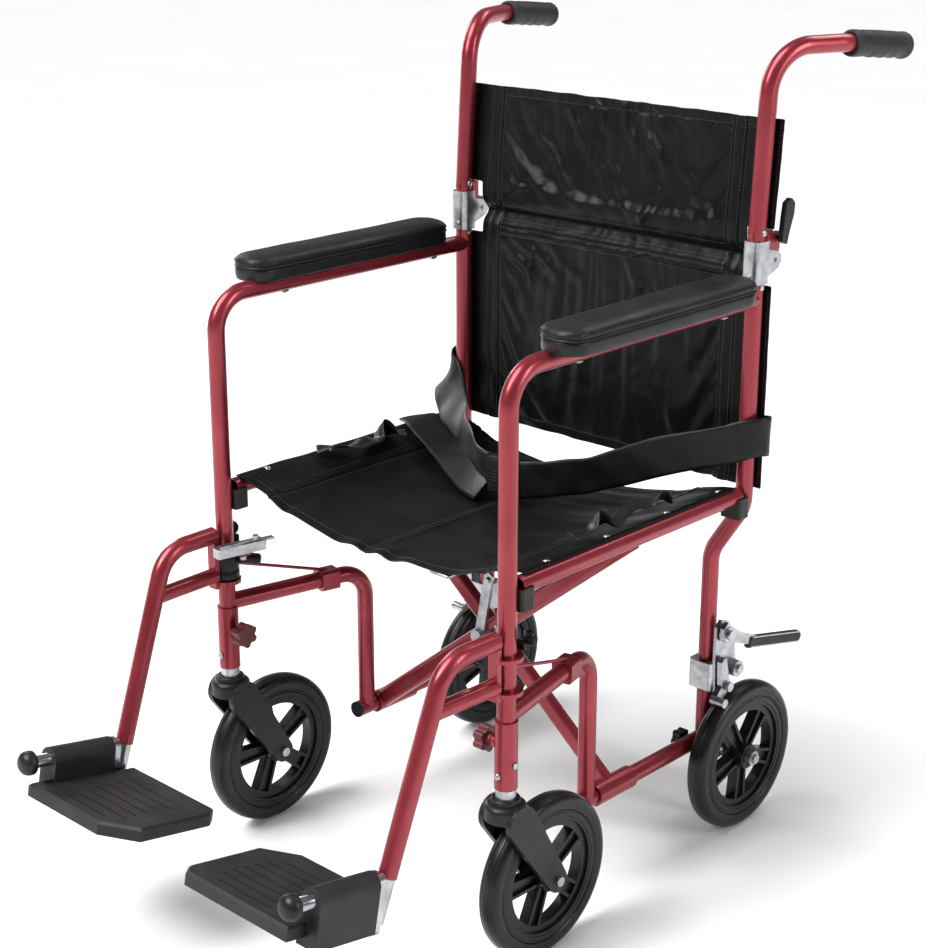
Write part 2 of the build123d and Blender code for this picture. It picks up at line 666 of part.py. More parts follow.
def footplate(big_corner):
    """Footplate and hinge barrel. big_corner: 1 for a wide rear chamfer, -1 for a wide front one."""
    wide, narrow = (42, 30), (12, 14)
    rear = wide if big_corner > 0 else narrow
    front = narrow if big_corner > 0 else wide
    outline = [
        (-2, PLATE_FRONT),
        (PLATE_INNER + front[0], PLATE_FRONT),
        (PLATE_INNER, PLATE_FRONT + front[1]),
        (PLATE_INNER, PLATE_REAR - rear[1]),
        (PLATE_INNER + rear[0], PLATE_REAR),
        (-14.5, PLATE_REAR),
        (-14.5, 46),
        (-2, 46),
    ]
    low = PLATE_TOP - PLATE_THICK
    plate = extrude(Plane.XY.offset(low) * make_face(Polyline(*outline, close=True)), amount=PLATE_THICK)
    plate = chamfer(plate.edges().group_by(Axis.Z)[-1], 3)
    under = block((PLATE_INNER + 12, -24), (PLATE_FRONT + 36, PLATE_REAR - 36), (low - 1, low + 9))
    plate -= under
    for n in range(GROOVES):
        y = -52 + 16 * n
        near_edge = 16 if n in (0, GROOVES - 1) else 0
        plate -= block((PLATE_INNER + 34 + near_edge, -48), (y - 1, y + 1), (PLATE_TOP - 1.5, PLATE_TOP + 1))
    barrel = rod((0, -42, 0), (0, 46, 0), BARREL_R)
    skirt = block((-BARREL_R, BARREL_R), (-42, 46), (PLATE_TOP - 28, 0))
    body = plate + barrel + skirt
    body -= rod((0, -50, 0), (0, 50, 0), PIN_R + RUN)
    return body


# ---------------------------------------------------------------- cross brace


def brace(y):
    """Brace member from the lower rail on -X up to the seat rail on +X, with its hinge sleeve."""
    run = Vector(POST_X + RAIL_X, 0, SEAT_Z - LOW_Z)
    angle = degrees(atan2(run.Z, run.X))
    length = run.length
    middle = Pos((POST_X - RAIL_X) / 2, y, (SEAT_Z + LOW_Z) / 2) * Rot(0, -angle, 0)
    flat = Rectangle(BRACE_THICK, BRACE_DEEP)
    flat = fillet(flat.vertices(), 7)
    hollow = fillet(Rectangle(BRACE_THICK - 2 * WALL, BRACE_DEEP - 2 * WALL).vertices(), 5.5)
    bar = extrude(Plane.YZ.offset(-length / 2) * flat, amount=length - BRACE_SHORT)
    bar -= extrude(Plane.YZ.offset(-length / 2 + 30) * hollow, amount=length - 60)
    member = middle * bar
    low_end, high_end = (-RAIL_X, SLEEVE_Y[0], LOW_Z), (-RAIL_X, SLEEVE_Y[1], LOW_Z)
    sleeve = rod(low_end, high_end, TUBE_R + 3.5)
    rail = tube([(POST_X, SEAT_RAIL_FRONT, SEAT_Z), (POST_X, SEAT_RAIL_REAR, SEAT_Z)])
    rail_core = rod((POST_X, SEAT_RAIL_FRONT, SEAT_Z), (POST_X, SEAT_RAIL_REAR, SEAT_Z), TUBE_R)
    body = member + sleeve - rail_core
    body -= Pos(-RAIL_X, y, LOW_Z) * Rot(90, 0, 0) * Cylinder(TUBE_R + GAP, 120)
    body += rail
    body -= rod((0, y - 30, CROSS_Z), (0, y + 30, CROSS_Z), 5 + RUN)
    return body


def brace_b():
    """Brace hinged on the right lower rail; its seat rail is the left one."""
    return brace(BRACE_Y_B)


def brace_a():
    """Brace hinged on the left lower rail; its seat rail is the right one."""
    return mirror(brace(BRACE_Y_A), about=Plane.YZ)


def brace_pivot():
    """Centre bolt with its washers, and the upright grey link in front of the braces."""
    front = BRACE_Y_B - BRACE_THICK / 2
    back = BRACE_Y_A + BRACE_THICK / 2
    bolt = rod((0, front - 11, CROSS_Z), (0, back + 7, CROSS_Z), 5)
    bolt += rod((0, front - 11, CROSS_Z), (0, front - 6, CROSS_Z), 9)
    bolt += rod((0, back + 0.5, CROSS_Z), (0, back + 7, CROSS_Z), 9)
    bolt += rod((0, back - BRACE_THICK - 0.5, CROSS_Z), (0, front + BRACE_THICK + 0.5, CROSS_Z), 9)
    link = block((-7, 7), (front - 5.5, front - 1), (-10, LINK_LENGTH))
    link = fillet(link.edges().filter_by(Axis.Y), 6)
    link += rod((0, front - 9, LINK_LENGTH - 10), (0, front - 1, LINK_LENGTH - 10), 4)
    return bolt + Pos(0, 0, CROSS_Z) * Rot(0, LINK_LEAN, 0) * link


# ---------------------------------------------------------------- soft parts


def arm_pad_base():
    """Hard base of the armrest pad, grooved over the arm tube and screwed to it from below."""
    inset = 1.0
    base = block((PAD_X[0] + inset, PAD_X[1] - inset), (PAD_Y[0] + inset, PAD_Y[1] - inset), PAD_Z[:2])
    base = fillet(base.edges().filter_by(Axis.Z), 19)
    base = fillet(base.edges().group_by(Axis.Z)[0], 1.5)
    core = rod((POST_X, PAD_Y[0] - 40, ARM_Z), (POST_X, PAD_Y[1] + 40, ARM_Z), TUBE_R)
    screws = []
    for y in (PAD_Y[0] + 58, PAD_Y[1] - 24):
        screws.append(rod((POST_X, y, ARM_Z - TUBE_R - 3), (POST_X, y, ARM_Z - TUBE_R), 4))
    return group([base - core] + screws)


def arm_pad():
    """Padded cover of the armrest."""
    pad = block(PAD_X, PAD_Y, PAD_Z[1:])
    pad = fillet(pad.edges().filter_by(Axis.Z), 26)
    return fillet(pad.edges().group_by(Axis.Z)[-1], 10)


def seat_sling():
    """Sagging fabric seat, wrapped over both seat rails."""
    wrap = TUBE_R + 0.4
    centre = []
    for n in range(7):
        t = radians(170 - 110 / 6 * n)
        centre.append((-POST_X + wrap * cos(t), SEAT_Z + wrap * sin(t)))
    half = POST_X - wrap * 0.5 - 1
    top = SEAT_Z + wrap * 0.8
    for n in range(1, 12):
        x = -half + 2 * half * n / 12
        centre.append((x, top - 34 * (1 - (x / half) ** 2)))
    for n in range(7):
        t = radians(120 - 110 / 6 * n)
        centre.append((POST_X + wrap * cos(t), SEAT_Z + wrap * sin(t)))
    return ribbon_slab(centre, CLOTH, SEAT_RAIL_FRONT + 8, SEAT_RAIL_REAR - 8)


def ribbon_slab(centre, thick, y_low, y_high):
    """A sheet of even thickness whose inner face runs through (x, z) points, extruded along Y."""
    upper = []
    for n, (x, z) in enumerate(centre):
        before = centre[max(n - 1, 0)]
        after = centre[min(n + 1, len(centre) - 1)]
        dx, dz = after[0] - before[0], after[1] - before[1]
        size = hypot(dx, dz)
        upper.append((x - dz / size * thick, z + dx / size * thick))
    return front_slab(centre + upper[::-1], y_low, y_high)


def back_cloth(z_low, z_high, lean):
    """A panel of the back upholstery behind the posts. lean follows the canes above the hinge."""
    y = BACK_CLOTH_Y
    top = y + lean
    sheet = side_slab(
        [(y, z_low), (y + CLOTH, z_low), (top + CLOTH, z_high), (top, z_high)],
        -BACK_EDGE_X,
        BACK_EDGE_X,
    )
    return sheet


def back_upper():
    """Back upholstery above the fold, carried by the canes and notched round the hinges."""
    sheet = back_cloth(TONGUE_TOP + 1, 945.0, 10.5)
    strip = block(
        (-POST_X + 22, POST_X - 22),
        (BACK_CLOTH_Y, BACK_CLOTH_Y + CLOTH),
        (HINGE_Z + 2, TONGUE_TOP + 1),
    )
    return sheet + strip


def back_lower():
    """Back upholstery below the fold, carried by the posts."""
    sheet = back_cloth(486.0, HINGE_Z - HINGE_HALF - 4, 0)
    strip = block(
        (-POST_X + 22, POST_X - 22),
        (BACK_CLOTH_Y, BACK_CLOTH_Y + CLOTH),
        (HINGE_Z - HINGE_HALF - 4, HINGE_Z - 1),
    )
    return sheet + strip


BELT_PATH = [(-226, 248), (-180, 205), (-95, 128), (-34, 92)]
BELT_LOW_Z = 500.0
BELT_HIGH_Z = 548.0


def seat_belt():
    """Two lengths of seat-belt webbing standing on edge from the back posts to the buckle."""
    straps = []
    for side in (-1, 1):
        points = [(side * -x, y) for x, y in BELT_PATH]
        inner = []
        for n, (x, y) in enumerate(points):
            before = points[max(n - 1, 0)]
            after = points[min(n + 1, len(points) - 1)]
            dx, dy = after[0] - before[0], after[1] - before[1]
            size = hypot(dx, dy)
            inner.append((x - dy / size * 1.6, y + dx / size * 1.6))
        outline = make_face(Polyline(*(points + inner[::-1]), close=True))
        strap = extrude(Plane.XY.offset(BELT_LOW_Z) * outline, amount=BELT_HIGH_Z - BELT_LOW_Z)
        straps.append(strap)
    return group(straps)


def belt_buckle():
    """Push-button buckle of the seat belt."""
    end_x, end_y = BELT_PATH[-1]
    buckle = block((end_x + 3, -end_x - 3), (end_y - 7, end_y + 9), (BELT_LOW_Z - 4, BELT_HIGH_Z + 4))
    return fillet(buckle.edges(), 3)


# ---------------------------------------------------------------- output

LEFT_PARTS = {
    "back_post": back_post,
    "arm_tube": arm_tube,
    "lower_bow": lower_bow,
    "lower_rail": lower_rail,
    "frame_plastics": frame_plastics,
    "hinge_channel": hinge_channel,
    "rear_fittings": rear_fittings,
    "arm_pad_base": arm_pad_base,
    "arm_pad": arm_pad,
    "clamp_knob": clamp_knob,
    "push_grip": push_grip,
    "back_release": back_release,
    "caster_fork": caster_fork,
    "caster_hardware": caster_hardware,
    "caster_tyre": caster_tyre,
    "caster_rim": caster_rim,
    "rear_tyre": rear_tyre,
    "rear_rim": rear_rim,
    "brake_lever": brake_lever,
    "brake_shoe": brake_shoe,
    "legrest_hanger": legrest_hanger,
    "hanger_latch": hanger_latch,
    "legrest_extension": legrest_extension,
    "footplate_pin": footplate_pin,
}

CENTRE_PARTS = {
    "brace_a": brace_a,
    "brace_b": brace_b,
    "brace_pivot": brace_pivot,
    "seat_sling": seat_sling,
    "back_upper": back_upper,
    "back_lower": back_lower,
    "seat_belt": seat_belt,
    "belt_buckle": belt_buckle,
}

os.makedirs("parts", exist_ok=True)


def save(name, shape):
    """Write one node as a STEP file."""
    export_step(shape, f"parts/{name}.step")


for part_name, make in LEFT_PARTS.items():
    left = make()
    save("left_" + part_name, left)
    save("right_" + part_name, mirror(left, about=Plane.YZ))

left_cane = back_cane() + lever_lug()
save("left_back_cane", left_cane)
save("right_back_cane", mirror(left_cane, about=Plane.YZ))
save("left_footplate", pin_place() * footplate(1))
save("right_footplate", mirror(pin_place() * footplate(-1), about=Plane.YZ))

for part_name, make in CENTRE_PARTS.items():
    save(part_name, make())
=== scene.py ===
import json
from math import cos, exp, hypot, pi, radians, sin

import bpy
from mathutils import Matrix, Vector, noise


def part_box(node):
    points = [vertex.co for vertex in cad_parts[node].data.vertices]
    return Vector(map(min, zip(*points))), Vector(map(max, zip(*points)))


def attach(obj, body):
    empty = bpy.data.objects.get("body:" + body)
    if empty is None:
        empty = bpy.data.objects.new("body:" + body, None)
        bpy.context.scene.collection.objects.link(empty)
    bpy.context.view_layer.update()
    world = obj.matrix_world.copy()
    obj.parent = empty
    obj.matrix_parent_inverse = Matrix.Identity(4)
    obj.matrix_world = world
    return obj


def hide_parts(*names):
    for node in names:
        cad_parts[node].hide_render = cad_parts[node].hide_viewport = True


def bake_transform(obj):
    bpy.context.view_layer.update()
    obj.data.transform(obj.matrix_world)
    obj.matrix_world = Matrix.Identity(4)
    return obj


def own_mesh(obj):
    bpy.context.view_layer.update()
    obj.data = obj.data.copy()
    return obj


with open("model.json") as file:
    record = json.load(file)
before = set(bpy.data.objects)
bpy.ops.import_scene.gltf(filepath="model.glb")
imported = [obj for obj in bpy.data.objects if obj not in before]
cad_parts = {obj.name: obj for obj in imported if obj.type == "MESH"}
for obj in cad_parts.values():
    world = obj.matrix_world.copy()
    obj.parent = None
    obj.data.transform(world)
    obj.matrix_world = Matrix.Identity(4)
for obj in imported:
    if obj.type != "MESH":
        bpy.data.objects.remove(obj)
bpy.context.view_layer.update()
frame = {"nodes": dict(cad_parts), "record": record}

# Looks of a folding transport wheelchair.
# Metres, +Z up, the chair faces -Y and +X is the seated person's left.

POST_X = 0.241
BACK_Y = 0.270
FRONT_Y = -0.171
HINGE_Y = 0.294
HINGE_Z = 0.776
SEAT_Z = 0.482
ARM_Z = 0.730
TUBE_R = 0.011
WHEEL_R = 0.1016
BACK_CLOTH_Y = 0.2815
BACK_EDGE_X = 0.257
NOTCH_X = 0.2185
SIDE_NAME = {1: "left", -1: "right"}
CAMERA_PLACE = Vector((1.5454, -1.6206, 1.2792))
CAMERA_BACK = Vector((0.6505, -0.6877, 0.3222))
LENS_MM = 73.05


# ---------------------------------------------------------------- materials


class Shader:
    """A node material. Values that are the same all over are set on the shader's own sockets."""

    def __init__(self, name, coords="Object", **sockets):
        self.material = bpy.data.materials.new(name)
        self.material.use_nodes = True
        self.tree = self.material.node_tree
        self.bsdf = self.tree.nodes["Principled BSDF"]
        self.where = self.add("ShaderNodeTexCoord").outputs[coords]
        self.normal = None
        for key, value in sockets.items():
            self.bsdf.inputs[key.replace("_", " ")].default_value = value

    def add(self, kind, inputs=None, **values):
        """A node with its own values and numbers on its inputs."""
        node = self.tree.nodes.new(kind)
        for key, value in values.items():
            setattr(node, key, value)
        for key, value in (inputs or {}).items():
            node.inputs[key].default_value = value
        return node

    def link(self, source, target):
        self.tree.links.new(source, target)

    def stretch(self, scale, turn=(0, 0, 0)):
        node = self.add("ShaderNodeMapping", {"Scale": scale, "Rotation": turn})
        self.link(self.where, node.inputs["Vector"])
        return node.outputs["Vector"]

    def noise(self, scale, detail=3.0, rough=0.5, where=None, warp=0.0):
        numbers = {"Scale": scale, "Detail": detail, "Roughness": rough, "Distortion": warp}
        node = self.add("ShaderNodeTexNoise", numbers)
        self.link(where or self.where, node.inputs["Vector"])
        return node.outputs["Fac"]

    def waves(self, period, direction, warp=0.0):
        """Bands with the given period in metres."""
        numbers = {"Scale": pi / 10 / period, "Distortion": warp}
        node = self.add("ShaderNodeTexWave", numbers, bands_direction=direction)
        self.link(self.where, node.inputs["Vector"])
        return node.outputs["Fac"]

    def voronoi(self, scale):
        node = self.add("ShaderNodeTexVoronoi", {"Scale": scale})
        self.link(self.where, node.inputs["Vector"])
        return node.outputs["Distance"]

    def higher(self, a, b):
        node = self.add("ShaderNodeMath", operation="MAXIMUM")
        self.link(a, node.inputs[0])
        self.link(b, node.inputs[1])
        return node.outputs[0]

    def spread(self, value, low, high, start=0.3, end=0.7):
        """Maps start..end of a texture onto low..high."""
        numbers = {"From Min": start, "From Max": end, "To Min": low, "To Max": high}
        node = self.add("ShaderNodeMapRange", numbers)
        self.link(value, node.inputs["Value"])
        return node.outputs["Result"]

    def colours(self, value, *stops):
        """Base colour from a texture, through (position, colour) stops."""
        node = self.add("ShaderNodeValToRGB")
        ramp = node.color_ramp.elements
        for n, (place, colour) in enumerate(stops):
            stop = ramp[n] if n < 2 else ramp.new(place)
            stop.position = place
            stop.color = (*colour, 1)
        self.link(value, node.inputs["Fac"])
        self.link(node.outputs["Color"], self.bsdf.inputs["Base Color"])

    def roughness(self, value, low, high):
        self.link(self.spread(value, low, high), self.bsdf.inputs["Roughness"])

    def bump(self, height, depth, strength):
        """Adds a bump of the given depth in metres on top of those before it."""
        node = self.add("ShaderNodeBump", {"Strength": strength, "Distance": depth})
        self.link(height, node.inputs["Height"])
        if self.normal:
            self.link(self.normal, node.inputs["Normal"])
        self.normal = node.outputs["Normal"]
        self.link(self.normal, self.bsdf.inputs["Normal"])


def red_lacquer():
    s = Shader("red_lacquer", Metallic=0.62, Coat_Weight=0.28, Coat_Roughness=0.10, Coat_IOR=1.45)
    s.colours(
        s.noise(14, 4),
        (0.3, (0.250, 0.022, 0.033)),
        (0.55, (0.290, 0.029, 0.042)),
        (0.75, (0.335, 0.038, 0.052)),
    )
    s.roughness(s.noise(45, 4), 0.27, 0.36)
    s.bump(s.voronoi(2600), 0.00002, 0.35)
    s.bump(s.noise(120, 3), 0.00012, 0.25)
    scratch = s.noise(30, 6, 0.7, s.stretch((1, 1, 9), (0.4, 0.3, 0)))
    s.bump(s.spread(scratch, 0, 1, 0.68, 0.74), 0.00003, 0.5)
    return s.material


def knob_red():
    s = Shader("knob_red", Coat_Weight=0.1, Coat_Roughness=0.3)
    s.colours(s.noise(60, 3), (0.3, (0.075, 0.006, 0.010)), (0.7, (0.125, 0.010, 0.016)))
    s.roughness(s.noise(90), 0.35, 0.5)
    s.bump(s.noise(1400, 2), 0.00006, 0.5)
    return s.material


def zinc():
    s = Shader("zinc_steel", Metallic=1.0, Anisotropic=0.35)
    s.colours(
        s.noise(70, 4, 0.6, warp=0.6),
        (0.3, (0.30, 0.31, 0.33)),
        (0.5, (0.44, 0.45, 0.47)),
        (0.72, (0.56, 0.57, 0.59)),
    )
    brushed = s.noise(60, 5, 0.6, s.stretch((1, 1, 22)))
    s.roughness(brushed, 0.24, 0.42)
    s.bump(brushed, 0.00004, 0.5)
    s.bump(s.voronoi(420), 0.00003, 0.3)
    return s.material


def chrome():
    s = Shader("chrome_plate", Metallic=1.0)
    s.colours(s.noise(40, 3), (0.3, (0.30, 0.31, 0.33)), (0.7, (0.50, 0.51, 0.54)))
    s.roughness(s.noise(110, 5, 0.6, s.stretch((1, 1, 6))), 0.16, 0.32)
    s.bump(s.noise(300, 3), 0.00006, 0.5)
    return s.material


def grained_plastic(name, dark, light, rough, grain=900, depth=0.00008):
    """Moulded plastic or rubber with a fine eroded grain, slight colour drift and scuffs."""
    s = Shader(name, Specular_IOR_Level=0.27)
    s.colours(s.noise(25, 5, 0.6), (0.3, dark), (0.72, light))
    s.roughness(s.noise(55, 4), *rough)
    s.bump(s.voronoi(grain), depth, 0.45)
    s.bump(s.noise(grain * 0.35, 4, 0.6), depth * 1.5, 0.4)
    scuff = s.noise(24, 6, 0.75, s.stretch((1, 5, 1), (0.2, 0.5, 0.3)))
    s.bump(s.spread(scuff, 0, 1, 0.66, 0.74), 0.00004, 0.4)
    return s.material


def nylon(name, dark, light, weave, rough, sheen, gloss):
    """Coated nylon cloth: plain weave, a soft crushed surface and sheen."""
    s = Shader(name, "UV", Sheen_Weight=sheen, Sheen_Roughness=0.35, Specular_IOR_Level=gloss)
    s.bsdf.inputs["Sheen Tint"].default_value = (0.75, 0.78, 0.85, 1)
    s.colours(s.noise(9, 5, 0.62, warp=0.4), (0.3, dark), (0.7, light))
    s.roughness(s.noise(26, 5, 0.6, warp=0.3), *rough)
    warp_yarn = s.waves(weave, "X", 0.15)
    weft_yarn = s.waves(weave, "Y", 0.15)
    s.bump(s.noise(22, 4, 0.55, warp=1.2), 0.0016, 0.34)
    s.bump(s.noise(60, 6, 0.66, warp=2.0), 0.0011, 0.30)
    s.bump(s.noise(170, 4, 0.6, warp=1.0), 0.00035, 0.30)
    s.bump(s.higher(warp_yarn, weft_yarn), 0.00007, 0.55)
    return s.material


def webbing():
    """Seat-belt webbing: lengthwise cords crossed by a fine pick."""
    s = Shader("belt_webbing", "UV", Sheen_Weight=0.02, Sheen_Roughness=0.3, Specular_IOR_Level=0.24)
    s.bsdf.inputs["Sheen Tint"].default_value = (0.8, 0.82, 0.88, 1)
    s.colours(s.noise(30, 5, 0.6), (0.3, (0.004, 0.004, 0.0045)), (0.7, (0.010, 0.010, 0.011)))
    s.roughness(s.noise(34, 4), 0.28, 0.46)
    s.bump(s.noise(30, 4, 0.6, warp=0.8), 0.0007, 0.35)
    s.bump(s.waves(0.0021, "Y", 0.1), 0.00022, 0.6)
    s.bump(s.waves(0.0011, "X", 0.2), 0.00010, 0.5)
    return s.material


def vinyl():
    """Arm-pad cover: soft coated cloth with a pebbled grain."""
    s = Shader("pad_vinyl", Sheen_Weight=0.03, Sheen_Roughness=0.4, Specular_IOR_Level=0.22)
    s.colours(s.noise(18, 5, 0.6), (0.3, (0.006, 0.006, 0.0075)), (0.7, (0.013, 0.013, 0.0155)))
    s.roughness(s.noise(40, 4), 0.36, 0.50)
    s.bump(s.noise(38, 4, 0.55, warp=1.4), 0.0011, 0.28)
    s.bump(s.voronoi(1500), 0.00008, 0.5)
    return s.material


def thread():
    s = Shader("sewing_thread", Sheen_Weight=0.3, Sheen_Roughness=0.4)
    s.colours(s.noise(400, 3), (0.3, (0.018, 0.018, 0.020)), (0.7, (0.038, 0.038, 0.042)))
    s.roughness(s.noise(500), 0.5, 0.7)
    s.bump(s.waves(0.0006, "DIAGONAL"), 0.00006, 0.6)
    return s.material


def pale_floor():
    s = Shader("pale_floor", Specular_IOR_Level=0.2)
    s.colours(s.noise(2, 4), (0.3, (0.86, 0.86, 0.86)), (0.7, (0.89, 0.89, 0.89)))
    s.roughness(s.noise(8), 0.7, 0.8)
    s.bump(s.noise(160, 3), 0.0001, 0.2)
    return s.material


MATERIAL = {
    "frame_red": red_lacquer(),
    "knob_red": knob_red(),
    "fitting_steel": zinc(),
    "chrome_tube": chrome(),
    "black_plastic": grained_plastic(
        "black_plastic", (0.007, 0.007, 0.008), (0.016, 0.016, 0.017), (0.30, 0.46)
    ),
    "footplate_plastic": grained_plastic(
        "footplate_plastic", (0.012, 0.012, 0.0135), (0.022, 0.022, 0.0245), (0.40, 0.56), 700, 0.00012
    ),
    "rim_plastic": grained_plastic(
        "rim_plastic", (0.005, 0.005, 0.006), (0.012, 0.012, 0.013), (0.24, 0.38), 1100
    ),
    "tyre": grained_plastic(
        "tyre_rubber", (0.005, 0.005, 0.005), (0.011, 0.0107, 0.0104), (0.24, 0.38), 800, 0.00010
    ),
    "grip_rubber": grained_plastic(
        "grip_rubber", (0.014, 0.014, 0.016), (0.028, 0.028, 0.031), (0.42, 0.58), 1300, 0.00014
    ),
    "pad_cover": vinyl(),
    "nylon": nylon(
        "coated_nylon", (0.0022, 0.0022, 0.0026), (0.0055, 0.0055, 0.0063), 0.00075,
        (0.27, 0.40), 0.02, 0.15,
    ),
    "webbing": webbing(),
}
STRAP_NYLON = nylon(
    "strap_nylon", (0.006, 0.006, 0.007), (0.015, 0.015, 0.017), 0.0011, (0.30, 0.45), 0.04, 0.3
)
THREAD = thread()
STITCH, STITCH_GAP, THREAD_R = 0.0030, 0.0014, 0.00042
CLOTH_FRAMES = 26


# ---------------------------------------------------------------- mesh helpers


def mesh_object(name, verts, faces, material, uvs=None):
    """A mesh object from points and faces, with one UV pair per point if given."""
    mesh = bpy.data.meshes.new(name)
    mesh.from_pydata([tuple(v) for v in verts], [], faces)
    mesh.update()
    if uvs:
        layer = mesh.uv_layers.new(name="cloth")
        for loop in mesh.loops:
            layer.data[loop.index].uv = uvs[loop.vertex_index]
    mesh.polygons.foreach_set("use_smooth", [True] * len(mesh.polygons))
    mesh.materials.append(material)
    obj = bpy.data.objects.new(name, mesh)
    bpy.context.scene.collection.objects.link(obj)
    return obj


def sheet_mesh(name, rows, material, skip=None):
    """A sheet from rows of (point, uv) of equal length. skip(row, column) leaves a face out."""
    width = len(rows[0])
    verts = [p for row in rows for p, _ in row]
    uvs = [uv for row in rows for _, uv in row]
    faces = []
    for r in range(len(rows) - 1):
        for c in range(width - 1):
            if skip and skip(r, c):
                continue
            a = r * width + c
            faces.append((a, a + 1, a + width + 1, a + width))
    used = sorted({i for f in faces for i in f})
    index = {old: new for new, old in enumerate(used)}
    return mesh_object(
        name,
        [verts[i] for i in used],
        [tuple(index[i] for i in f) for f in faces],
        material,
        [uvs[i] for i in used],
    )


def thicken(obj, thick):
    """Gives a sheet its thickness, with a rim."""
    mod = obj.modifiers.new("thickness", "SOLIDIFY")
    mod.thickness = thick
    mod.offset = 0
    mod.use_even_offset = True
    apply_modifiers(obj)


def subdivide(obj):
    mod = obj.modifiers.new("smooth", "SUBSURF")
    mod.levels = mod.render_levels = 1
    apply_modifiers(obj)


def apply_modifiers(obj):
    """Replaces the mesh by what its modifiers make of it."""
    bpy.context.view_layer.update()
    shown = obj.evaluated_get(bpy.context.evaluated_depsgraph_get())
    mesh = bpy.data.meshes.new_from_object(shown)
    obj.modifiers.clear()
    obj.data = mesh
    for polygon in mesh.polygons:
        polygon.use_smooth = True


def joined(name, parts):
    """One object from several."""
    bpy.ops.object.select_all(action="DESELECT")
    for part in parts:
        part.select_set(True)
    bpy.context.view_layer.objects.active = parts[0]
    bpy.ops.object.join()
    parts[0].name = name
    parts[0].data.name = name
    return parts[0]


def frame_on(direction):
    """Two unit vectors square to a direction, the second as near to up as it can be."""
    direction = direction.normalized()
    side = direction.cross(Vector((0, 0, 1)))
    if side.length < 1e-4:
        side = direction.cross(Vector((0, 1, 0)))
    side.normalize()
    return side, side.cross(direction).normalized()


def full_turn(count):
    return [2 * pi * n / count for n in range(count)]


def ring_faces(rings, size, first=0, caps=True):
    """Faces between rings of points that follow one another, and one on each end."""
    faces = []
    for ring in range(rings - 1):
        for n in range(size):
            a = first + ring * size + n
            b = first + ring * size + (n + 1) % size
            faces.append((a, b, b + size, a + size))
    if caps:
        last = first + (rings - 1) * size
        faces.append(tuple(range(first, first + size))[::-1])
        faces.append(tuple(range(last, last + size)))
    return faces


def lathe(name, origin, axis, profile, material, segments=48, lobes=None):
    """A turned solid from (distance along the axis, radius) pairs.

    lobes(angle, distance) scales the radius. A profile that ends where it starts makes a ring.
    """
    axis = Vector(axis).normalized()
    side, up = frame_on(axis)
    closed = profile[0] == profile[-1]
    verts = []
    for along, radius in profile:
        for angle in full_turn(segments):
            r = radius * (lobes(angle, along) if lobes else 1)
            verts.append(Vector(origin) + axis * along + (side * cos(angle) + up * sin(angle)) * r)
    faces = ring_faces(len(profile), segments, caps=not closed)
    if closed:
        verts = verts[:-segments]
        faces = [tuple(i % len(verts) for i in f) for f in faces]
    return mesh_object(name, verts, faces, material)


def screw(place, axis, radius, height):
    """A pan-head screw with a washer and a cross recess cut as a dished centre."""
    profile = [
        (-0.0006, radius * 1.45), (0.0, radius * 1.5), (0.0005, radius * 1.45), (0.0006, radius),
        (height * 0.7, radius * 0.97), (height, radius * 0.7), (height * 1.02, radius * 0.34),
        (height * 0.6, radius * 0.2), (height * 0.5, radius * 0.05),
    ]

    def recess(angle, along):
        if height * 0.4 < along < height * 0.65:
            return 1 + 0.5 * max(0.0, cos(4 * angle)) ** 2
        return 1

    return lathe("screw", place, axis, profile, MATERIAL["fitting_steel"], 20, recess)


def ribbon(name, centre, across, width, thick, material, rows, wave):
    """A flat strap along centre points, with its width along the across vectors, closed all round."""
    count = len(centre)
    length = [0.0]
    for n in range(1, count):
        length.append(length[-1] + (centre[n] - centre[n - 1]).length)
    verts, uvs = [], []
    for n in range(count):
        ahead = (centre[min(n + 1, count - 1)] - centre[max(n - 1, 0)]).normalized()
        wide = (across[n] - ahead * across[n].dot(ahead)).normalized()
        normal = ahead.cross(wide).normalized()
        for side in (1, -1):
            for r in range(rows):
                t = (r / (rows - 1) - 0.5) * side
                edge = 1 - max(0.0, abs(t) * 2 - 0.9) * 6
                lift = thick / 2 * side * max(edge, 0.25) + wave(length[n], t)
                verts.append(centre[n] + wide * width * t + normal * lift)
                uvs.append((length[n], t * width))
    return mesh_object(name, verts, ring_faces(count, rows * 2), material, uvs)


def smooth_line(points, steps):
    """Catmull-Rom curve through points of any size."""
    out = []
    for n in range(len(points) - 1):
        a = points[max(n - 1, 0)]
        b, c = points[n], points[n + 1]
        d = points[min(n + 2, len(points) - 1)]
        for k in range(steps):
            t = k / steps
            square = 2 * a - 5 * b + 4 * c - d
            cube = 3 * b - a - 3 * c + d
            out.append(0.5 * (2 * b + (c - a) * t + square * t * t + cube * t**3))
    out.append(points[-1].copy())
    return out


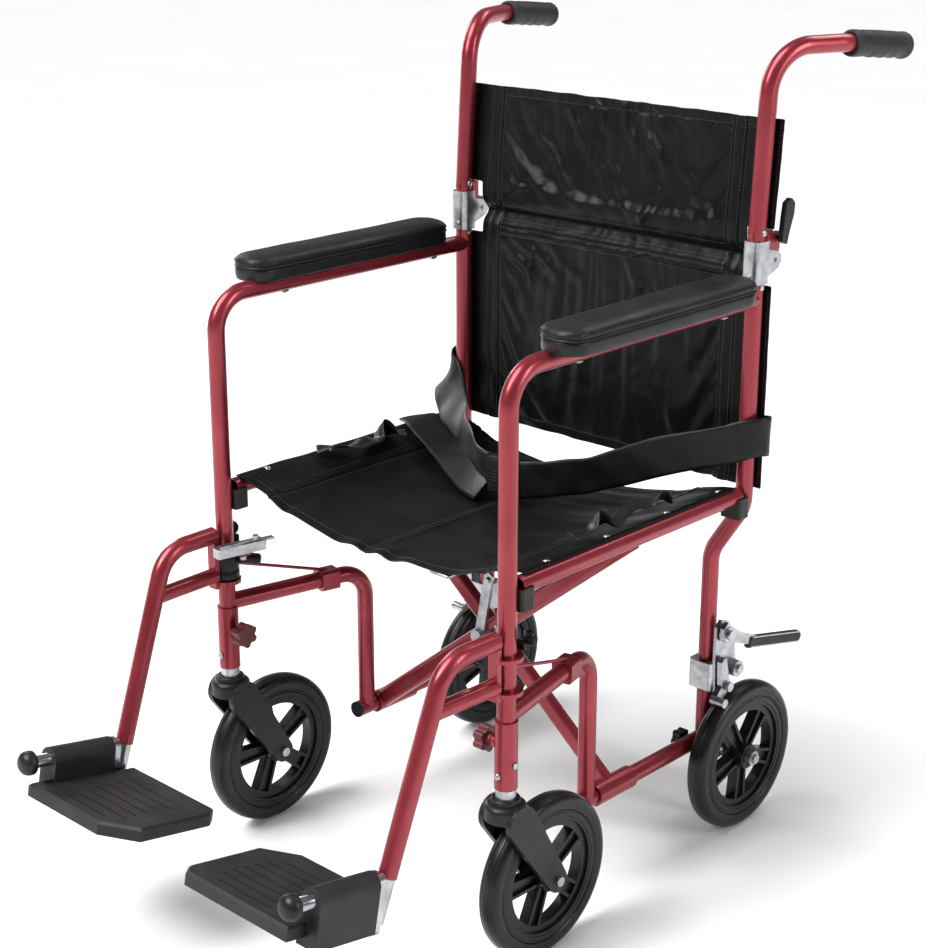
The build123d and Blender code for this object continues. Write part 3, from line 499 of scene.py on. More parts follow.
def stitches(name, line, normal):
    """Dashes of thread laid on a line of points, each sunk a little into the cloth."""
    verts, faces = [], []
    start = 0.0
    positions = [0.0]
    for n in range(1, len(line)):
        positions.append(positions[-1] + (line[n] - line[n - 1]).length)
    total = positions[-1]
    segment = 0

    def at(distance):
        nonlocal segment
        while segment < len(line) - 2 and positions[segment + 1] < distance:
            segment += 1
        span = max(positions[segment + 1] - positions[segment], 1e-9)
        t = (distance - positions[segment]) / span
        return line[segment].lerp(line[segment + 1], min(max(t, 0), 1)), segment

    while start + STITCH < total:
        a, na = at(start)
        b, _ = at(start + STITCH)
        up = normal[min(na, len(normal) - 1)]
        ahead = (b - a).normalized()
        side = ahead.cross(up).normalized()
        base = len(verts)
        for t, swell in ((0.0, 0.25), (0.2, 0.9), (0.5, 1.0), (0.8, 0.9), (1.0, 0.25)):
            middle = a.lerp(b, t) + up * THREAD_R * (0.9 * sin(pi * t) - 0.1)
            for angle in full_turn(6):
                verts.append(middle + (side * cos(angle) + up * sin(angle)) * THREAD_R * swell)
        faces += ring_faces(5, 6, base)
        start += STITCH + STITCH_GAP
    return mesh_object(name, verts, faces, THREAD)


def simulate(obj, held, grow, gravity, cap, keep, push):
    """Runs a cloth over the mesh from a slight push, held where held(point) is 1.

    keep(move) says how much of a point's move stays, and cap is the longest one.
    """
    before = [v.co.copy() for v in obj.data.vertices]
    pin = obj.vertex_groups.new(name="held")
    for n, point in enumerate(before):
        weight = held(point)
        if weight > 0:
            pin.add([n], weight, "REPLACE")
    for n, vertex in enumerate(obj.data.vertices):
        vertex.co = before[n] + push(before[n])
    cloth = obj.modifiers.new("cloth", "CLOTH")
    for key, value in (
        ("quality", 6), ("mass", 0.25), ("air_damping", 4), ("tension_stiffness", 18),
        ("compression_stiffness", 18), ("shear_stiffness", 9), ("bending_stiffness", 0.6),
        ("shrink_min", -grow), ("shrink_max", -grow), ("vertex_group_mass", "held"),
    ):
        setattr(cloth.settings, key, value)
    cloth.settings.effector_weights.gravity = gravity
    cloth.collision_settings.use_collision = False
    cloth.collision_settings.use_self_collision = False
    cloth.point_cache.frame_end = CLOTH_FRAMES
    scene = bpy.context.scene
    for number in range(1, CLOTH_FRAMES + 1):
        scene.frame_set(number)
    shown = obj.evaluated_get(bpy.context.evaluated_depsgraph_get())
    after = [v.co.copy() for v in shown.data.vertices]
    obj.modifiers.remove(cloth)
    obj.vertex_groups.remove(pin)
    scene.frame_set(1)
    for n, vertex in enumerate(obj.data.vertices):
        moved = keep(after[n] - before[n])
        if moved.length > cap:
            moved = moved.normalized() * cap
        vertex.co = before[n] + moved
    obj.data.update()


def crease(x, z, lines):
    """Height at (x, z) of soft ridges, each (x0, z0, x1, z1, height, width)."""
    total = 0.0
    for x0, z0, x1, z1, height, width in lines:
        dx, dz = x1 - x0, z1 - z0
        size = hypot(dx, dz)
        t = ((x - x0) * dx + (z - z0) * dz) / (size * size)
        if -0.3 < t < 1.3:
            away = ((x - x0) * dz - (z - z0) * dx) / size
            away += 0.0025 * sin(9 * t + x0 * 60)
            taper = exp(-((max(0.0, abs(t - 0.45) - 0.25) / 0.28) ** 2))
            swell = away / (width * (0.7 + 0.6 * max(t, 0)))
            total += height * taper * (exp(-swell * swell) - 0.55 * exp(-((swell - 1.6) ** 2)))
    return total


def lump(x, y, z):
    """Smooth noise at a point, about -1 to 1."""
    return noise.noise(Vector((x, y, z)))


def groove(x, seam, width=0.0016):
    return exp(-(((x - seam) / width) ** 2))


# ---------------------------------------------------------------- back upholstery

SEAMS_X = (0.187, 0.205)
BAND_LOW, BAND_HIGH = 0.748, 0.788
BAND_PITCH = 0.0098
BACK_THICK = 0.0020
HEM = 0.016
LEAN_FROM, LEAN = 0.814, 10.5 / 131  # the canes lean back above this height
LAP = 0.0012  # each panel runs this far past the fold line, so no gap shows
UPPER_CREASES = [
    (-0.034, 0.944, -0.010, 0.902, 0.0036, 0.0055), (0.028, 0.944, 0.090, 0.852, 0.0046, 0.0065),
    (0.006, 0.944, 0.034, 0.880, 0.0038, 0.0060), (0.056, 0.944, 0.078, 0.912, 0.0030, 0.0050),
    (0.098, 0.944, 0.116, 0.922, 0.0024, 0.0050), (-0.080, 0.940, -0.050, 0.880, 0.0024, 0.0070),
    (-0.172, 0.868, -0.098, 0.800, 0.0034, 0.0080), (-0.128, 0.888, -0.058, 0.806, 0.0034, 0.0080),
    (-0.060, 0.900, 0.004, 0.812, 0.0028, 0.0075), (0.000, 0.862, 0.020, 0.812, 0.0034, 0.0065),
    (0.020, 0.812, 0.055, 0.802, 0.0030, 0.0055), (0.055, 0.802, 0.074, 0.846, 0.0034, 0.0065),
    (0.118, 0.860, 0.160, 0.810, 0.0022, 0.0080), (-0.178, 0.800, -0.120, 0.838, 0.0022, 0.0070),
]
LOWER_CREASES = [
    (-0.182, 0.742, -0.118, 0.688, 0.0034, 0.0075), (-0.158, 0.744, -0.078, 0.706, 0.0030, 0.0065),
    (-0.176, 0.722, -0.140, 0.650, 0.0026, 0.0075), (-0.100, 0.742, -0.040, 0.700, 0.0022, 0.0070),
    (0.030, 0.742, 0.080, 0.690, 0.0020, 0.0080), (0.182, 0.740, 0.120, 0.690, 0.0026, 0.0075),
    (-0.110, 0.640, -0.104, 0.520, 0.0018, 0.0090), (-0.040, 0.620, -0.048, 0.505, 0.0020, 0.0090),
    (0.040, 0.640, 0.036, 0.500, 0.0018, 0.0085), (0.110, 0.600, 0.120, 0.505, 0.0020, 0.0085),
    (-0.170, 0.560, -0.150, 0.500, 0.0018, 0.0070),
]


def back_columns():
    """X stations of the back panels, closer at the seams."""
    outer = [NOTCH_X, 0.226, 0.2335, 0.241, 0.2475, 0.253, BACK_EDGE_X]
    inner = [0.0035 * n for n in range(0, 49)]
    seam = [0.1735, 0.177, 0.180, 0.1825, 0.1845, 0.186, 0.187, 0.188, 0.1895, 0.1925, 0.196, 0.1995]
    seam += [0.2025, 0.204, 0.205, 0.206, 0.2075, 0.210, 0.214]
    right = [x for x in inner if x < 0.172] + seam + outer
    return [-x for x in reversed(right[1:])] + right


def back_depth(x, z):
    """Distance of the fabric behind the posts' rear face, before wrinkles."""
    lean = max(0.0, z - LEAN_FROM) * LEAN
    recess = 0.0
    if abs(x) <= NOTCH_X + 1e-6:
        recess = (HINGE_Y - BACK_CLOTH_Y) * exp(-(((z - HINGE_Z) / 0.011) ** 2))
    middle = 0.0035 * (1 - min(1.0, abs(x) / 0.2) ** 2)
    return lean + recess + middle


def back_detail(x, z, creases):
    """Wrinkles, sewn channels and seams, along -Y."""
    inside = max(0.0, min(1.0, (0.186 - abs(x)) / 0.02))
    height = crease(x, z, creases) * inside
    for seam in SEAMS_X:
        height -= 0.0013 * groove(abs(x), seam)
    if SEAMS_X[0] < abs(x) < SEAMS_X[1]:
        height += 0.0016 * sin(pi * (abs(x) - SEAMS_X[0]) / (SEAMS_X[1] - SEAMS_X[0]))
        height += 0.0006 * lump(x * 60, 3, z * 160)
    if BAND_LOW < z < BAND_HIGH and abs(x) < SEAMS_X[0]:
        fade = min(1.0, (SEAMS_X[0] - abs(x)) / 0.004)
        height += 0.0019 * abs(sin(pi * (z - BAND_LOW) / BAND_PITCH)) * fade
    height += 0.0011 * lump(x * 22, 7, z * 22) * inside
    height += 0.0005 * lump(x * 70, 1, z * 55)
    bent = Vector((x * 34 + 2.2 * lump(x * 11, 3, z * 11), 8, z * 30 - x * 16))
    height += 0.0018 * inside * (0.32 - abs(noise.noise(bent)))
    return height


def back_panel(name, node, heights, low_part, creases, body, hem_top):
    """One panel of the back: a grid, simulated slack, then wrinkles and a folded hem."""
    columns = back_columns()
    rows = []
    for z in heights:
        rows.append([(Vector((x, BACK_CLOTH_Y + 0.0012 + back_depth(x, z), z)), (x, z)) for x in columns])

    def skip(r, c):
        middle_x = abs(columns[c] + columns[c + 1]) / 2
        middle_z = (heights[r] + heights[r + 1]) / 2
        return middle_x > NOTCH_X and (middle_z > low_part if low_part < HINGE_Z else middle_z < low_part)

    cloth = sheet_mesh(name, rows, MATERIAL["nylon"], skip)

    def held(point):
        if abs(point.x) > 0.183 or abs(point.z - HINGE_Z) < 0.034:
            return 1.0
        edge = min(abs(point.z - heights[0]), abs(point.z - heights[-1]))
        return 0.35 if edge < 0.008 and hem_top else 0.0

    def only_depth(moved):
        return Vector((0, max(-0.0045, min(0.006, moved.y)), 0))

    def nudge(point):
        return Vector((0, 0.0012 * lump(point.x * 30, 2, point.z * 26), 0))

    simulate(cloth, held, 0.022, 0.3, 0.007, only_depth, nudge)
    low, high = heights[0], heights[-1]
    for vertex in cloth.data.vertices:
        x, z = vertex.co.x, vertex.co.z
        vertex.co.y -= back_detail(x, z, creases)
        edge = high - z if hem_top else z - low
        if edge < HEM:
            vertex.co.y -= 0.0010 * (1 - edge / HEM) - 0.0012 * groove(edge, 0.0125, 0.0012)
            vertex.co.z += 0.0012 * lump(x * 34, 5, 2) * (1 - edge / HEM)
        if z > low_part or hem_top:
            vertex.co.y = max(vertex.co.y, BACK_CLOTH_Y + back_depth(x, z) - 0.007)
        if abs(x) > 0.2255:
            vertex.co.y = max(vertex.co.y, BACK_CLOTH_Y + 0.0011 + max(0.0, z - LEAN_FROM) * LEAN)
    cloth.data.update()
    thicken(cloth, BACK_THICK)
    subdivide(cloth)
    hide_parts(node)
    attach(cloth, body)
    return cloth


def spaced(low, high, step):
    count = max(1, round((high - low) / step))
    return [low + (high - low) * n / count for n in range(count + 1)]


upper_heights = spaced(HINGE_Z - LAP, 0.790, 0.0020) + spaced(0.790, 0.815, 0.0032)[1:]
upper_heights += spaced(0.815, 0.930, 0.0036)[1:] + spaced(0.930, 0.9445, 0.0018)[1:]
lower_heights = spaced(0.4865, 0.502, 0.0020) + spaced(0.502, 0.746, 0.0042)[1:]
lower_heights += spaced(0.746, HINGE_Z + LAP, 0.0020)[1:]

back_upper = back_panel(
    "back_upper_cloth", "back_upper", upper_heights, 0.8145, UPPER_CREASES, "right_cane", True
)
back_lower = back_panel(
    "back_lower_cloth", "back_lower", lower_heights, 0.7465, LOWER_CREASES, "right_frame", False
)


# ---------------------------------------------------------------- seat sling

SLING_R = 0.0126
SLING_FRONT, SLING_REAR = -0.146, 0.245
SLING_HALF = POST_X - SLING_R * 0.5 - 0.001
SLING_TOP = SEAT_Z + SLING_R * 0.87
SLING_THICK = 0.0019
SAG = 0.034
SEAT_SEAMS = (0.183, 0.192)
CENTRE_SEAM = -0.010


def sling_line():
    """Cross-section of the sling as (x, z, distance along the cloth)."""

    def on_rail(side, degrees_round):
        angle = radians(degrees_round)
        return (side * POST_X - side * SLING_R * cos(angle), SEAT_Z + SLING_R * sin(angle))

    points = [on_rail(-1, t) for t in range(112, 68, -7)]
    inner = [0.0038 * n for n in range(0, 62) if 0.0038 * n < SLING_HALF - 0.004]
    inner += [0.1815, 0.183, 0.1845, 0.1875, 0.1905, 0.192, 0.1935]
    seam = {CENTRE_SEAM, CENTRE_SEAM - 0.0015, CENTRE_SEAM + 0.0015}
    middle = sorted({-x for x in inner} | set(inner) | seam)
    for x in middle:
        points.append((x, SLING_TOP - SAG * (1 - (x / SLING_HALF) ** 2)))
    points += [on_rail(1, t) for t in range(70, 113, 7)]
    line, travelled = [], 0.0
    for n, (x, z) in enumerate(points):
        if n:
            travelled += hypot(x - points[n - 1][0], z - points[n - 1][1])
        line.append((x, z, travelled))
    return line


def sling_detail(x, y):
    """Height of seams, bands and wrinkles over the plain sag."""
    height = 0.0
    for seam in SEAT_SEAMS:
        height -= 0.0012 * groove(abs(x), seam)
    if SEAT_SEAMS[0] < abs(x) < SEAT_SEAMS[1]:
        height += 0.0011
    if SEAT_SEAMS[1] < abs(x) < SLING_HALF:
        height += 0.0007 + 0.0008 * lump(x * 30, y * 26, 4)
    if abs(x - CENTRE_SEAM) < 0.0075:
        height += 0.0013 * cos((x - CENTRE_SEAM) / 0.0075 * pi / 2)
        height -= 0.0014 * groove(x, CENTRE_SEAM, 0.0011)
    inside = max(0.0, min(1.0, (0.182 - abs(x)) / 0.03))
    height += inside * 0.0030 * lump(x * 9, y * 16, 1)
    height += inside * 0.0014 * lump(x * 18, y * 42, 6)
    front = max(0.0, 1 - (y - SLING_FRONT) / 0.05)
    height += inside * front * 0.0026 * sin(x * 95 + 2 * sin(x * 31))
    edge = y - SLING_FRONT
    if edge < 0.02:
        height += 0.0008 - 0.0013 * groove(edge, 0.0150, 0.0012)
    back_edge = SLING_REAR - y
    if back_edge < 0.02:
        height += 0.0008 - 0.0013 * groove(back_edge, 0.0150, 0.0012)
    return height


def seat_sling():
    line = sling_line()
    stations = spaced(SLING_FRONT, SLING_FRONT + 0.020, 0.0018)
    stations += spaced(SLING_FRONT + 0.020, SLING_REAR - 0.018, 0.0052)[1:]
    stations += spaced(SLING_REAR - 0.018, SLING_REAR, 0.0020)[1:]
    rows = [[(Vector((x, y, z)), (along, y)) for x, z, along in line] for y in stations]
    cloth = sheet_mesh("seat_sling_cloth", rows, MATERIAL["nylon"])

    def held(point):
        return 1.0 if abs(point.x) > 0.19 else 0.0

    def mostly_height(moved):
        return Vector((0, moved.y * 0.4, max(-0.006, min(0.005, moved.z))))

    def nudge(point):
        return Vector((0, 0, 0.0012 * lump(point.x * 24, point.y * 20, 9)))

    simulate(cloth, held, 0.012, 0.8, 0.006, mostly_height, nudge)
    for vertex in cloth.data.vertices:
        x, y, z = vertex.co
        if abs(x) < SLING_HALF:
            vertex.co.z += sling_detail(x, y)
    cloth.data.update()
    thicken(cloth, SLING_THICK)
    subdivide(cloth)
    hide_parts("seat_sling")
    return cloth


sling = seat_sling()


def surface_height(obj, x, y):
    """Top of a piece under a point."""
    hit, place, normal, _ = obj.ray_cast(Vector((x, y, 0.7)), Vector((0, 0, -1)))
    return (place, normal) if hit else (Vector((x, y, SLING_TOP)), Vector((0, 0, 1)))


def surface_depth(obj, x, z):
    """Front of a back panel behind a point."""
    hit, place, normal, _ = obj.ray_cast(Vector((x, 0.1, z)), Vector((0, 1, 0)))
    return (place, normal) if hit else (Vector((x, BACK_CLOTH_Y, z)), Vector((0, -1, 0)))


def seam_on(name, samples, finder, obj):
    """Stitches that follow a piece's surface."""
    line, normals = [], []
    for a, b in samples:
        place, normal = finder(obj, a, b)
        line.append(place)
        normals.append(normal)
    return stitches(name, line, normals)


def back_stitching(panel, name, z_low, z_high, bands, body):
    parts = []
    for side in (-1, 1):
        for seam in SEAMS_X:
            for shift in (-0.0026, 0.0026):
                samples = [(side * (seam + shift), z) for z in spaced(z_low, z_high, 0.004)]
                parts.append(seam_on("seam", samples, surface_depth, panel))
        flap_low = z_low if z_low < HINGE_Z - 0.05 else 0.819
        flap_high = z_high if z_high > HINGE_Z + 0.05 else 0.742
        samples = [(side * (BACK_EDGE_X - 0.004), z) for z in spaced(flap_low, flap_high, 0.004)]
        parts.append(seam_on("seam", samples, surface_depth, panel))
    for z in bands:
        samples = [(x, z) for x in spaced(-0.184, 0.184, 0.004)]
        parts.append(seam_on("seam", samples, surface_depth, panel))
    made = joined(name, parts)
    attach(made, body)
    return made


def channel_lines(low, high):
    lines = [BAND_LOW + BAND_PITCH * n for n in range(5)]
    return [z for z in lines if low < z < high]


upper_threads = back_stitching(
    back_upper, "back_upper_stitching", 0.779, 0.9425, channel_lines(0.779, 0.80) + [0.9325], "right_cane"
)
lower_threads = back_stitching(
    back_lower, "back_lower_stitching", 0.4885, 0.773, channel_lines(0.74, 0.775) + [0.4985], "right_frame"
)


def sling_stitching():
    """Stitching on the seat: along both rails, at the centre seam and on both hems."""
    made = []
    lengthwise = spaced(SLING_FRONT + 0.002, SLING_REAR - 0.002, 0.004)
    for side in (-1, 1):
        for x in (0.1805, 0.1945):
            samples = [(side * x, y) for y in lengthwise]
            made.append(seam_on("seam", samples, surface_height, sling))
    for shift in (-0.0028, 0.0028):
        samples = [(CENTRE_SEAM + shift, y) for y in lengthwise]
        made.append(seam_on("seam", samples, surface_height, sling))
    for y in (SLING_FRONT + 0.0125, SLING_REAR - 0.0125):
        samples = [(x, y) for x in spaced(-0.226, 0.226, 0.004)]
        made.append(seam_on("seam", samples, surface_height, sling))
    return joined("seat_sling_stitching", made)


sling_threads = sling_stitching()


# ---------------------------------------------------------------- lap belt


def strap_line(*points, steps=9):
    return smooth_line([Vector(p) for p in points], steps)


BELT_WIDTH = 0.050
STRAP_THICK = 0.0016


def belt_ribbon(name, centre, across, ripple):
    return ribbon(name, centre, across, BELT_WIDTH, STRAP_THICK, MATERIAL["webbing"], 11, ripple)


def near_belt():
    """Left half: from the buckle, standing on edge, round the left back post and the back's edge."""
    centre = strap_line(
        (0.022, 0.086, 0.492), (0.055, 0.104, 0.497), (0.104, 0.134, 0.507), (0.140, 0.163, 0.521),
        (0.171, 0.193, 0.533), (0.203, 0.223, 0.541), (0.232, 0.247, 0.549), (0.249, 0.2565, 0.556),
        (0.2615, 0.268, 0.559), (0.2655, 0.281, 0.558), (0.258, 0.2915, 0.556),
        (0.240, 0.2935, 0.553), (0.222, 0.2935, 0.551),
    )
    across = strap_line(
        (0.10, 0.05, 1), (0.02, -0.10, 1), (0.00, -0.25, 1), (0.05, 0.10, 1), (0.00, 0.22, 1),
        (0.00, 0.06, 1), (-0.04, 0.0, 1), (0.02, 0.0, 1), (0.05, 0.02, 1), (0.02, 0.05, 1), (0, 0, 1),
        (0, 0, 1), (0, 0, 1),
    )

    def ripple(along, t):
        fade = max(0.0, 1 - along / 0.27) * min(1.0, along / 0.02)
        return fade * (0.0030 * sin(along * 62) * t + 0.0016 * sin(along * 120 + t * 5))

    return belt_ribbon("left_belt_webbing", centre, across, ripple), centre


def far_belt():
    """Right half: round the right back post, then falling and turning flat on its way to the buckle."""
    centre = strap_line(
        (-0.222, 0.2935, 0.553), (-0.240, 0.2935, 0.553), (-0.258, 0.2915, 0.553),
        (-0.2655, 0.281, 0.552), (-0.2625, 0.266, 0.550), (-0.2530, 0.2520, 0.543),
        (-0.2380, 0.2370, 0.531), (-0.2120, 0.2170, 0.518), (-0.1700, 0.1820, 0.506),
        (-0.118, 0.143, 0.4985), (-0.070, 0.110, 0.4925), (-0.022, 0.086, 0.492),
    )
    across = strap_line(
        (0, 0, 1), (0, 0, 1), (0, 0, 1), (0, 0.03, 1), (0.10, 0.12, 1), (0.38, 0.40, 0.85),
        (0.55, 0.55, 0.62), (0.45, 0.55, 0.62), (0.15, 0.45, 0.80), (-0.10, 0.28, 0.92),
        (-0.05, 0.12, 1), (0.0, 0.05, 1),
    )

    def ripple(along, t):
        fade = min(1.0, max(0.0, along - 0.1) / 0.05)
        return fade * 0.0018 * sin(along * 55 + t * 4)

    return belt_ribbon("right_belt_webbing", centre, across, ripple), centre


def belt_tail():
    """Loose end of the right half, folded back from the buckle and lying over the seat's right band."""
    centre = strap_line(
        (-0.024, 0.080, 0.4780), (-0.060, 0.096, 0.4755), (-0.105, 0.117, 0.4815),
        (-0.150, 0.136, 0.4880), (-0.190, 0.152, 0.4965), (-0.222, 0.166, 0.5020),
        (-0.243, 0.176, 0.5010),
    )
    across = strap_line(
        (-0.30, 0.75, 0.60), (-0.28, 0.85, 0.42), (-0.30, 0.92, 0.28), (-0.34, 0.93, 0.16),
        (-0.36, 0.93, 0.10), (-0.38, 0.92, 0.05), (-0.40, 0.90, 0.00),
    )

    def ripple(along, t):
        return 0.0016 * sin(along * 48 + t * 3)

    return belt_ribbon("right_belt_tail", centre, across, ripple), centre


left_belt, left_belt_line = near_belt()
right_belt, right_belt_line = far_belt()
tail, tail_line = belt_tail()
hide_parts("seat_belt")
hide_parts("seat_belt")
for strap in (left_belt, right_belt, tail):
    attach(strap, "right_frame")


# ---------------------------------------------------------------- belt buckle


def rounded_box(name, centre, size, radius, material, segments=3):
    """A box with rounded edges."""
    x, y, z = (s / 2 for s in size)
    corners = [Vector((a * x, b * y, c * z)) for a in (-1, 1) for b in (-1, 1) for c in (-1, 1)]
    faces = [(0, 1, 3, 2), (4, 6, 7, 5), (0, 4, 5, 1), (2, 3, 7, 6), (0, 2, 6, 4), (1, 5, 7, 3)]
    obj = mesh_object(name, [c + Vector(centre) for c in corners], faces, material)
    mod = obj.modifiers.new("round", "BEVEL")
    mod.width = radius
    mod.segments = segments
    mod.limit_method = "NONE"
    apply_modifiers(obj)
    return obj


def buckle():
    """Push-button buckle: shell, raised face with a button and ribs, and a thicker rim at each end."""
    plastic = MATERIAL["black_plastic"]
    button_plastic = MATERIAL["footplate_plastic"]
    parts = [
        rounded_box("shell", (0.0, 0.0875, 0.4925), (0.046, 0.0125, 0.050), 0.0035, plastic),
        rounded_box("face", (-0.002, 0.0808, 0.4925), (0.034, 0.0022, 0.042), 0.0010, plastic),
        rounded_box("button", (0.0055, 0.0796, 0.4925), (0.013, 0.0026, 0.022), 0.0009, button_plastic),
        rounded_box("end_left", (0.0245, 0.0875, 0.4925), (0.006, 0.0095, 0.054), 0.0022, plastic),
        rounded_box("end_right", (-0.0245, 0.0875, 0.4925), (0.006, 0.0095, 0.054), 0.0022, plastic),
    ]
    for n in range(4):
        z = 0.4925 + (n - 1.5) * 0.0042
        rib = rounded_box("rib", (-0.0105, 0.0795, z), (0.011, 0.0012, 0.0018), 0.0005, plastic, 2)
        parts.append(rib)
    made = joined("belt_buckle_body", parts)
    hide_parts("belt_buckle")
    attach(made, "belt_buckle")
    return made


buckle()


# ---------------------------------------------------------------- ties, tab and screws on the cloth


def tie(name, points, ups, width, body):
    """A short strip of folded cloth sewn to the seat's band."""
    centre = strap_line(*points, steps=7)
    across = strap_line(*ups, steps=7)

    def ripple(along, t):
        return 0.0022 * sin(along * 90 + t * 6) * (0.5 - abs(t))

    made = ribbon(name, centre, across, width, STRAP_THICK, STRAP_NYLON, 9, ripple)
    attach(made, body)


tie(
    "right_seat_tie",
    [
        (-0.236, -0.016, 0.500), (-0.222, 0.002, 0.503), (-0.210, 0.026, 0.4995), (-0.206, 0.050, 0.5035),
        (-0.214, 0.074, 0.500), (-0.222, 0.088, 0.511), (-0.214, 0.104, 0.500), (-0.204, 0.118, 0.499),
    ],
    [
        (1, 0.4, 0.1), (1, 0.3, 0.2), (1, 0.1, 0.1), (1, -0.1, -0.2), (0.9, -0.2, 0.3), (0.5, 0.2, 0.8),
        (0.9, 0.3, 0.1), (1, 0.2, 0),
    ],
    0.026,
    "brace_a",
)
tie(
    "left_seat_tie",
    [
        (0.214, -0.030, 0.4985), (0.219, -0.006, 0.502), (0.214, 0.014, 0.512), (0.222, 0.026, 0.501),
        (0.216, 0.052, 0.5000), (0.209, 0.082, 0.503), (0.212, 0.112, 0.5025), (0.218, 0.128, 0.508),
        (0.214, 0.140, 0.499),
    ],
    [
        (1, 0, 0), (1, -0.2, 0.2), (0.5, 0.2, 0.9), (0.9, 0.3, -0.2), (1, 0.1, 0.2), (1, 0, 0.1),
        (0.9, -0.2, -0.2), (0.6, 0, 0.8), (1, 0, 0),
    ],
    0.024,
    "brace_b",
)

for side, side_name, rail_body in ((-1, "right", "brace_a"), (1, "left", "brace_b")):
    heads = []
    for y in (-0.100, 0.006, 0.118, 0.222):
        place, normal = surface_height(sling, side * 0.2350, y)
        heads.append(screw(place - normal * 0.0006, normal, 0.0040, 0.0020))
    rail_screws = joined(side_name + "_seat_screws", heads)
    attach(rail_screws, rail_body)
    for panel, heights, body, label in (
        (back_upper, (0.835, 0.925), side_name + "_cane", "upper"),
        (back_lower, (0.520, 0.620, 0.725), side_name + "_frame", "lower"),
    ):
        heads = []
        for z in heights:
            hit, place, normal, _ = panel.ray_cast(Vector((side * POST_X, 0.4, z)), Vector((0, -1, 0)))
            heads.append(screw(place - normal * 0.0006, normal, 0.0045, 0.0022))
        back_screws = joined(f"{side_name}_{label}_back_screws", heads)
        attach(back_screws, body)

tab = rounded_box(
    "seat_grey_tab", (0.112, -0.138, 0.4572), (0.030, 0.018, 0.004), 0.0016, MATERIAL["fitting_steel"]
)


# ---------------------------------------------------------------- arm pads


def rounded_outline(half_x, half_y, radius, side_steps, corner_steps, end_steps):
    """Points and outward normals of a rounded rectangle, counted from the middle of its front edge."""
    radius = min(radius, half_x * 0.98, half_y * 0.98)
    out = []

    def run(a, b, normal, steps):
        for n in range(steps):
            out.append((a.lerp(b, n / steps), normal))

    def corner(centre, start):
        for n in range(corner_steps):
            angle = start + pi / 2 * n / corner_steps
            normal = Vector((cos(angle), sin(angle)))
            out.append((centre + normal * radius, normal))

    x, y = half_x - radius, half_y - radius
    run(Vector((0, -half_y)), Vector((x, -half_y)), Vector((0, -1)), end_steps)
    corner(Vector((x, -y)), -pi / 2)
    run(Vector((half_x, -y)), Vector((half_x, y)), Vector((1, 0)), side_steps)
    corner(Vector((x, y)), 0)
    run(Vector((x, half_y)), Vector((-x, half_y)), Vector((0, 1)), end_steps * 2)
    corner(Vector((-x, y)), pi / 2)
    run(Vector((-half_x, y)), Vector((-half_x, -y)), Vector((-1, 0)), side_steps)
    corner(Vector((-x, -y)), pi)
    run(Vector((-x, -half_y)), Vector((0, -half_y)), Vector((0, -1)), end_steps)
    return out


PAD_CORNER = 0.027
PAD_FOOT = 0.7375
# height above the joint and inset from the outline, in millimetres: piping, sewn side, crown
PAD_PROFILE = [
    (0.0, 2.0), (0.3, 0.7), (1.0, 0.0), (1.8, 0.2), (2.4, 1.2), (2.8, 2.0), (3.4, 1.7), (4.6, 1.0),
    (6.4, 0.8), (8.2, 1.2), (10.0, 2.2), (11.8, 4.0), (13.4, 6.8), (14.7, 10.5), (15.6, 15.0),
    (16.2, 20.0), (16.4, 25.0),
]
# height above the base's foot and inset, in millimetres
BASE_PROFILE = [
    (0.0, 6.0), (0.2, 3.4), (0.8, 1.9), (1.8, 0.9), (3.4, 0.4), (7.0, 0.1), (12.0, 0.0), (15.2, 0.2),
    (16.0, 0.8), (16.4, 1.8), (16.5, 4.0),
]


def stacked_outline(name, middle, foot, half_x, half_y, profile, material, shape):
    """A solid from rounded outlines, one per profile step.

    shape(plan, normal, height) gives a point's extra shift outward and upward.
    """
    verts, uvs = [], []
    for height, inset in profile:
        height, inset = height / 1000, inset / 1000
        corner = max(0.004, PAD_CORNER - inset * 0.7)
        for plan, normal in rounded_outline(half_x - inset, half_y - inset, corner, 96, 16, 6):
            push, lift = shape(plan, normal, height)
            x = middle.x + plan.x + normal.x * push
            y = middle.y + plan.y + normal.y * push
            verts.append(Vector((x, y, foot + height + lift)))
            uvs.append((plan.x, plan.y))
    around = len(verts) // len(profile)
    faces = ring_faces(len(profile), around, caps=False)
    for base, flip in ((0, True), ((len(profile) - 1) * around, False)):
        for n in range(around // 2):
            opposite = [base + (around - n - 1) % around, base + (around - n) % around]
            face = list(dict.fromkeys([base + n, base + n + 1] + opposite))
            if len(face) > 2:
                faces.append(tuple(face[::-1] if flip else face))
    return mesh_object(name, verts, faces, material, uvs)


def arm_pad(side):
    """Crowned pad: piping along its foot, side gathered at the ends, soft crown."""
    name = SIDE_NAME[side]
    low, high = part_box(name + "_arm_pad")
    half_x, half_y = (high.x - low.x) / 2, (high.y - low.y) / 2

    def soft_cover(plan, normal, height):
        toward_end = max(0.0, min(1.0, (abs(plan.y) - (half_y - 0.080)) / 0.050))
        band = exp(-(((height - 0.0080) / 0.0042) ** 2))
        folds = sin(plan.y * 980 + 4 * lump(plan.y * 60, side, 0))
        folds *= toward_end * band * 0.0011 * (1 if plan.y < 0 else 0.6) * (abs(normal.x) > 0.6)
        soft = 0.0012 * lump(plan.x * 26, plan.y * 20, height * 90 + side)
        crown = 0.0009 * lump(plan.x * 30, plan.y * 18, 4 + side)
        return folds + (soft if height > 0.003 else 0), (crown if height > 0.008 else 0.0)

    made = stacked_outline(
        name + "_arm_pad_cover",
        (low + high) / 2, low.z, half_x, half_y, PAD_PROFILE, MATERIAL["pad_cover"], soft_cover,
    )
    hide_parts(name + "_arm_pad")
    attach(made, name + "_frame")


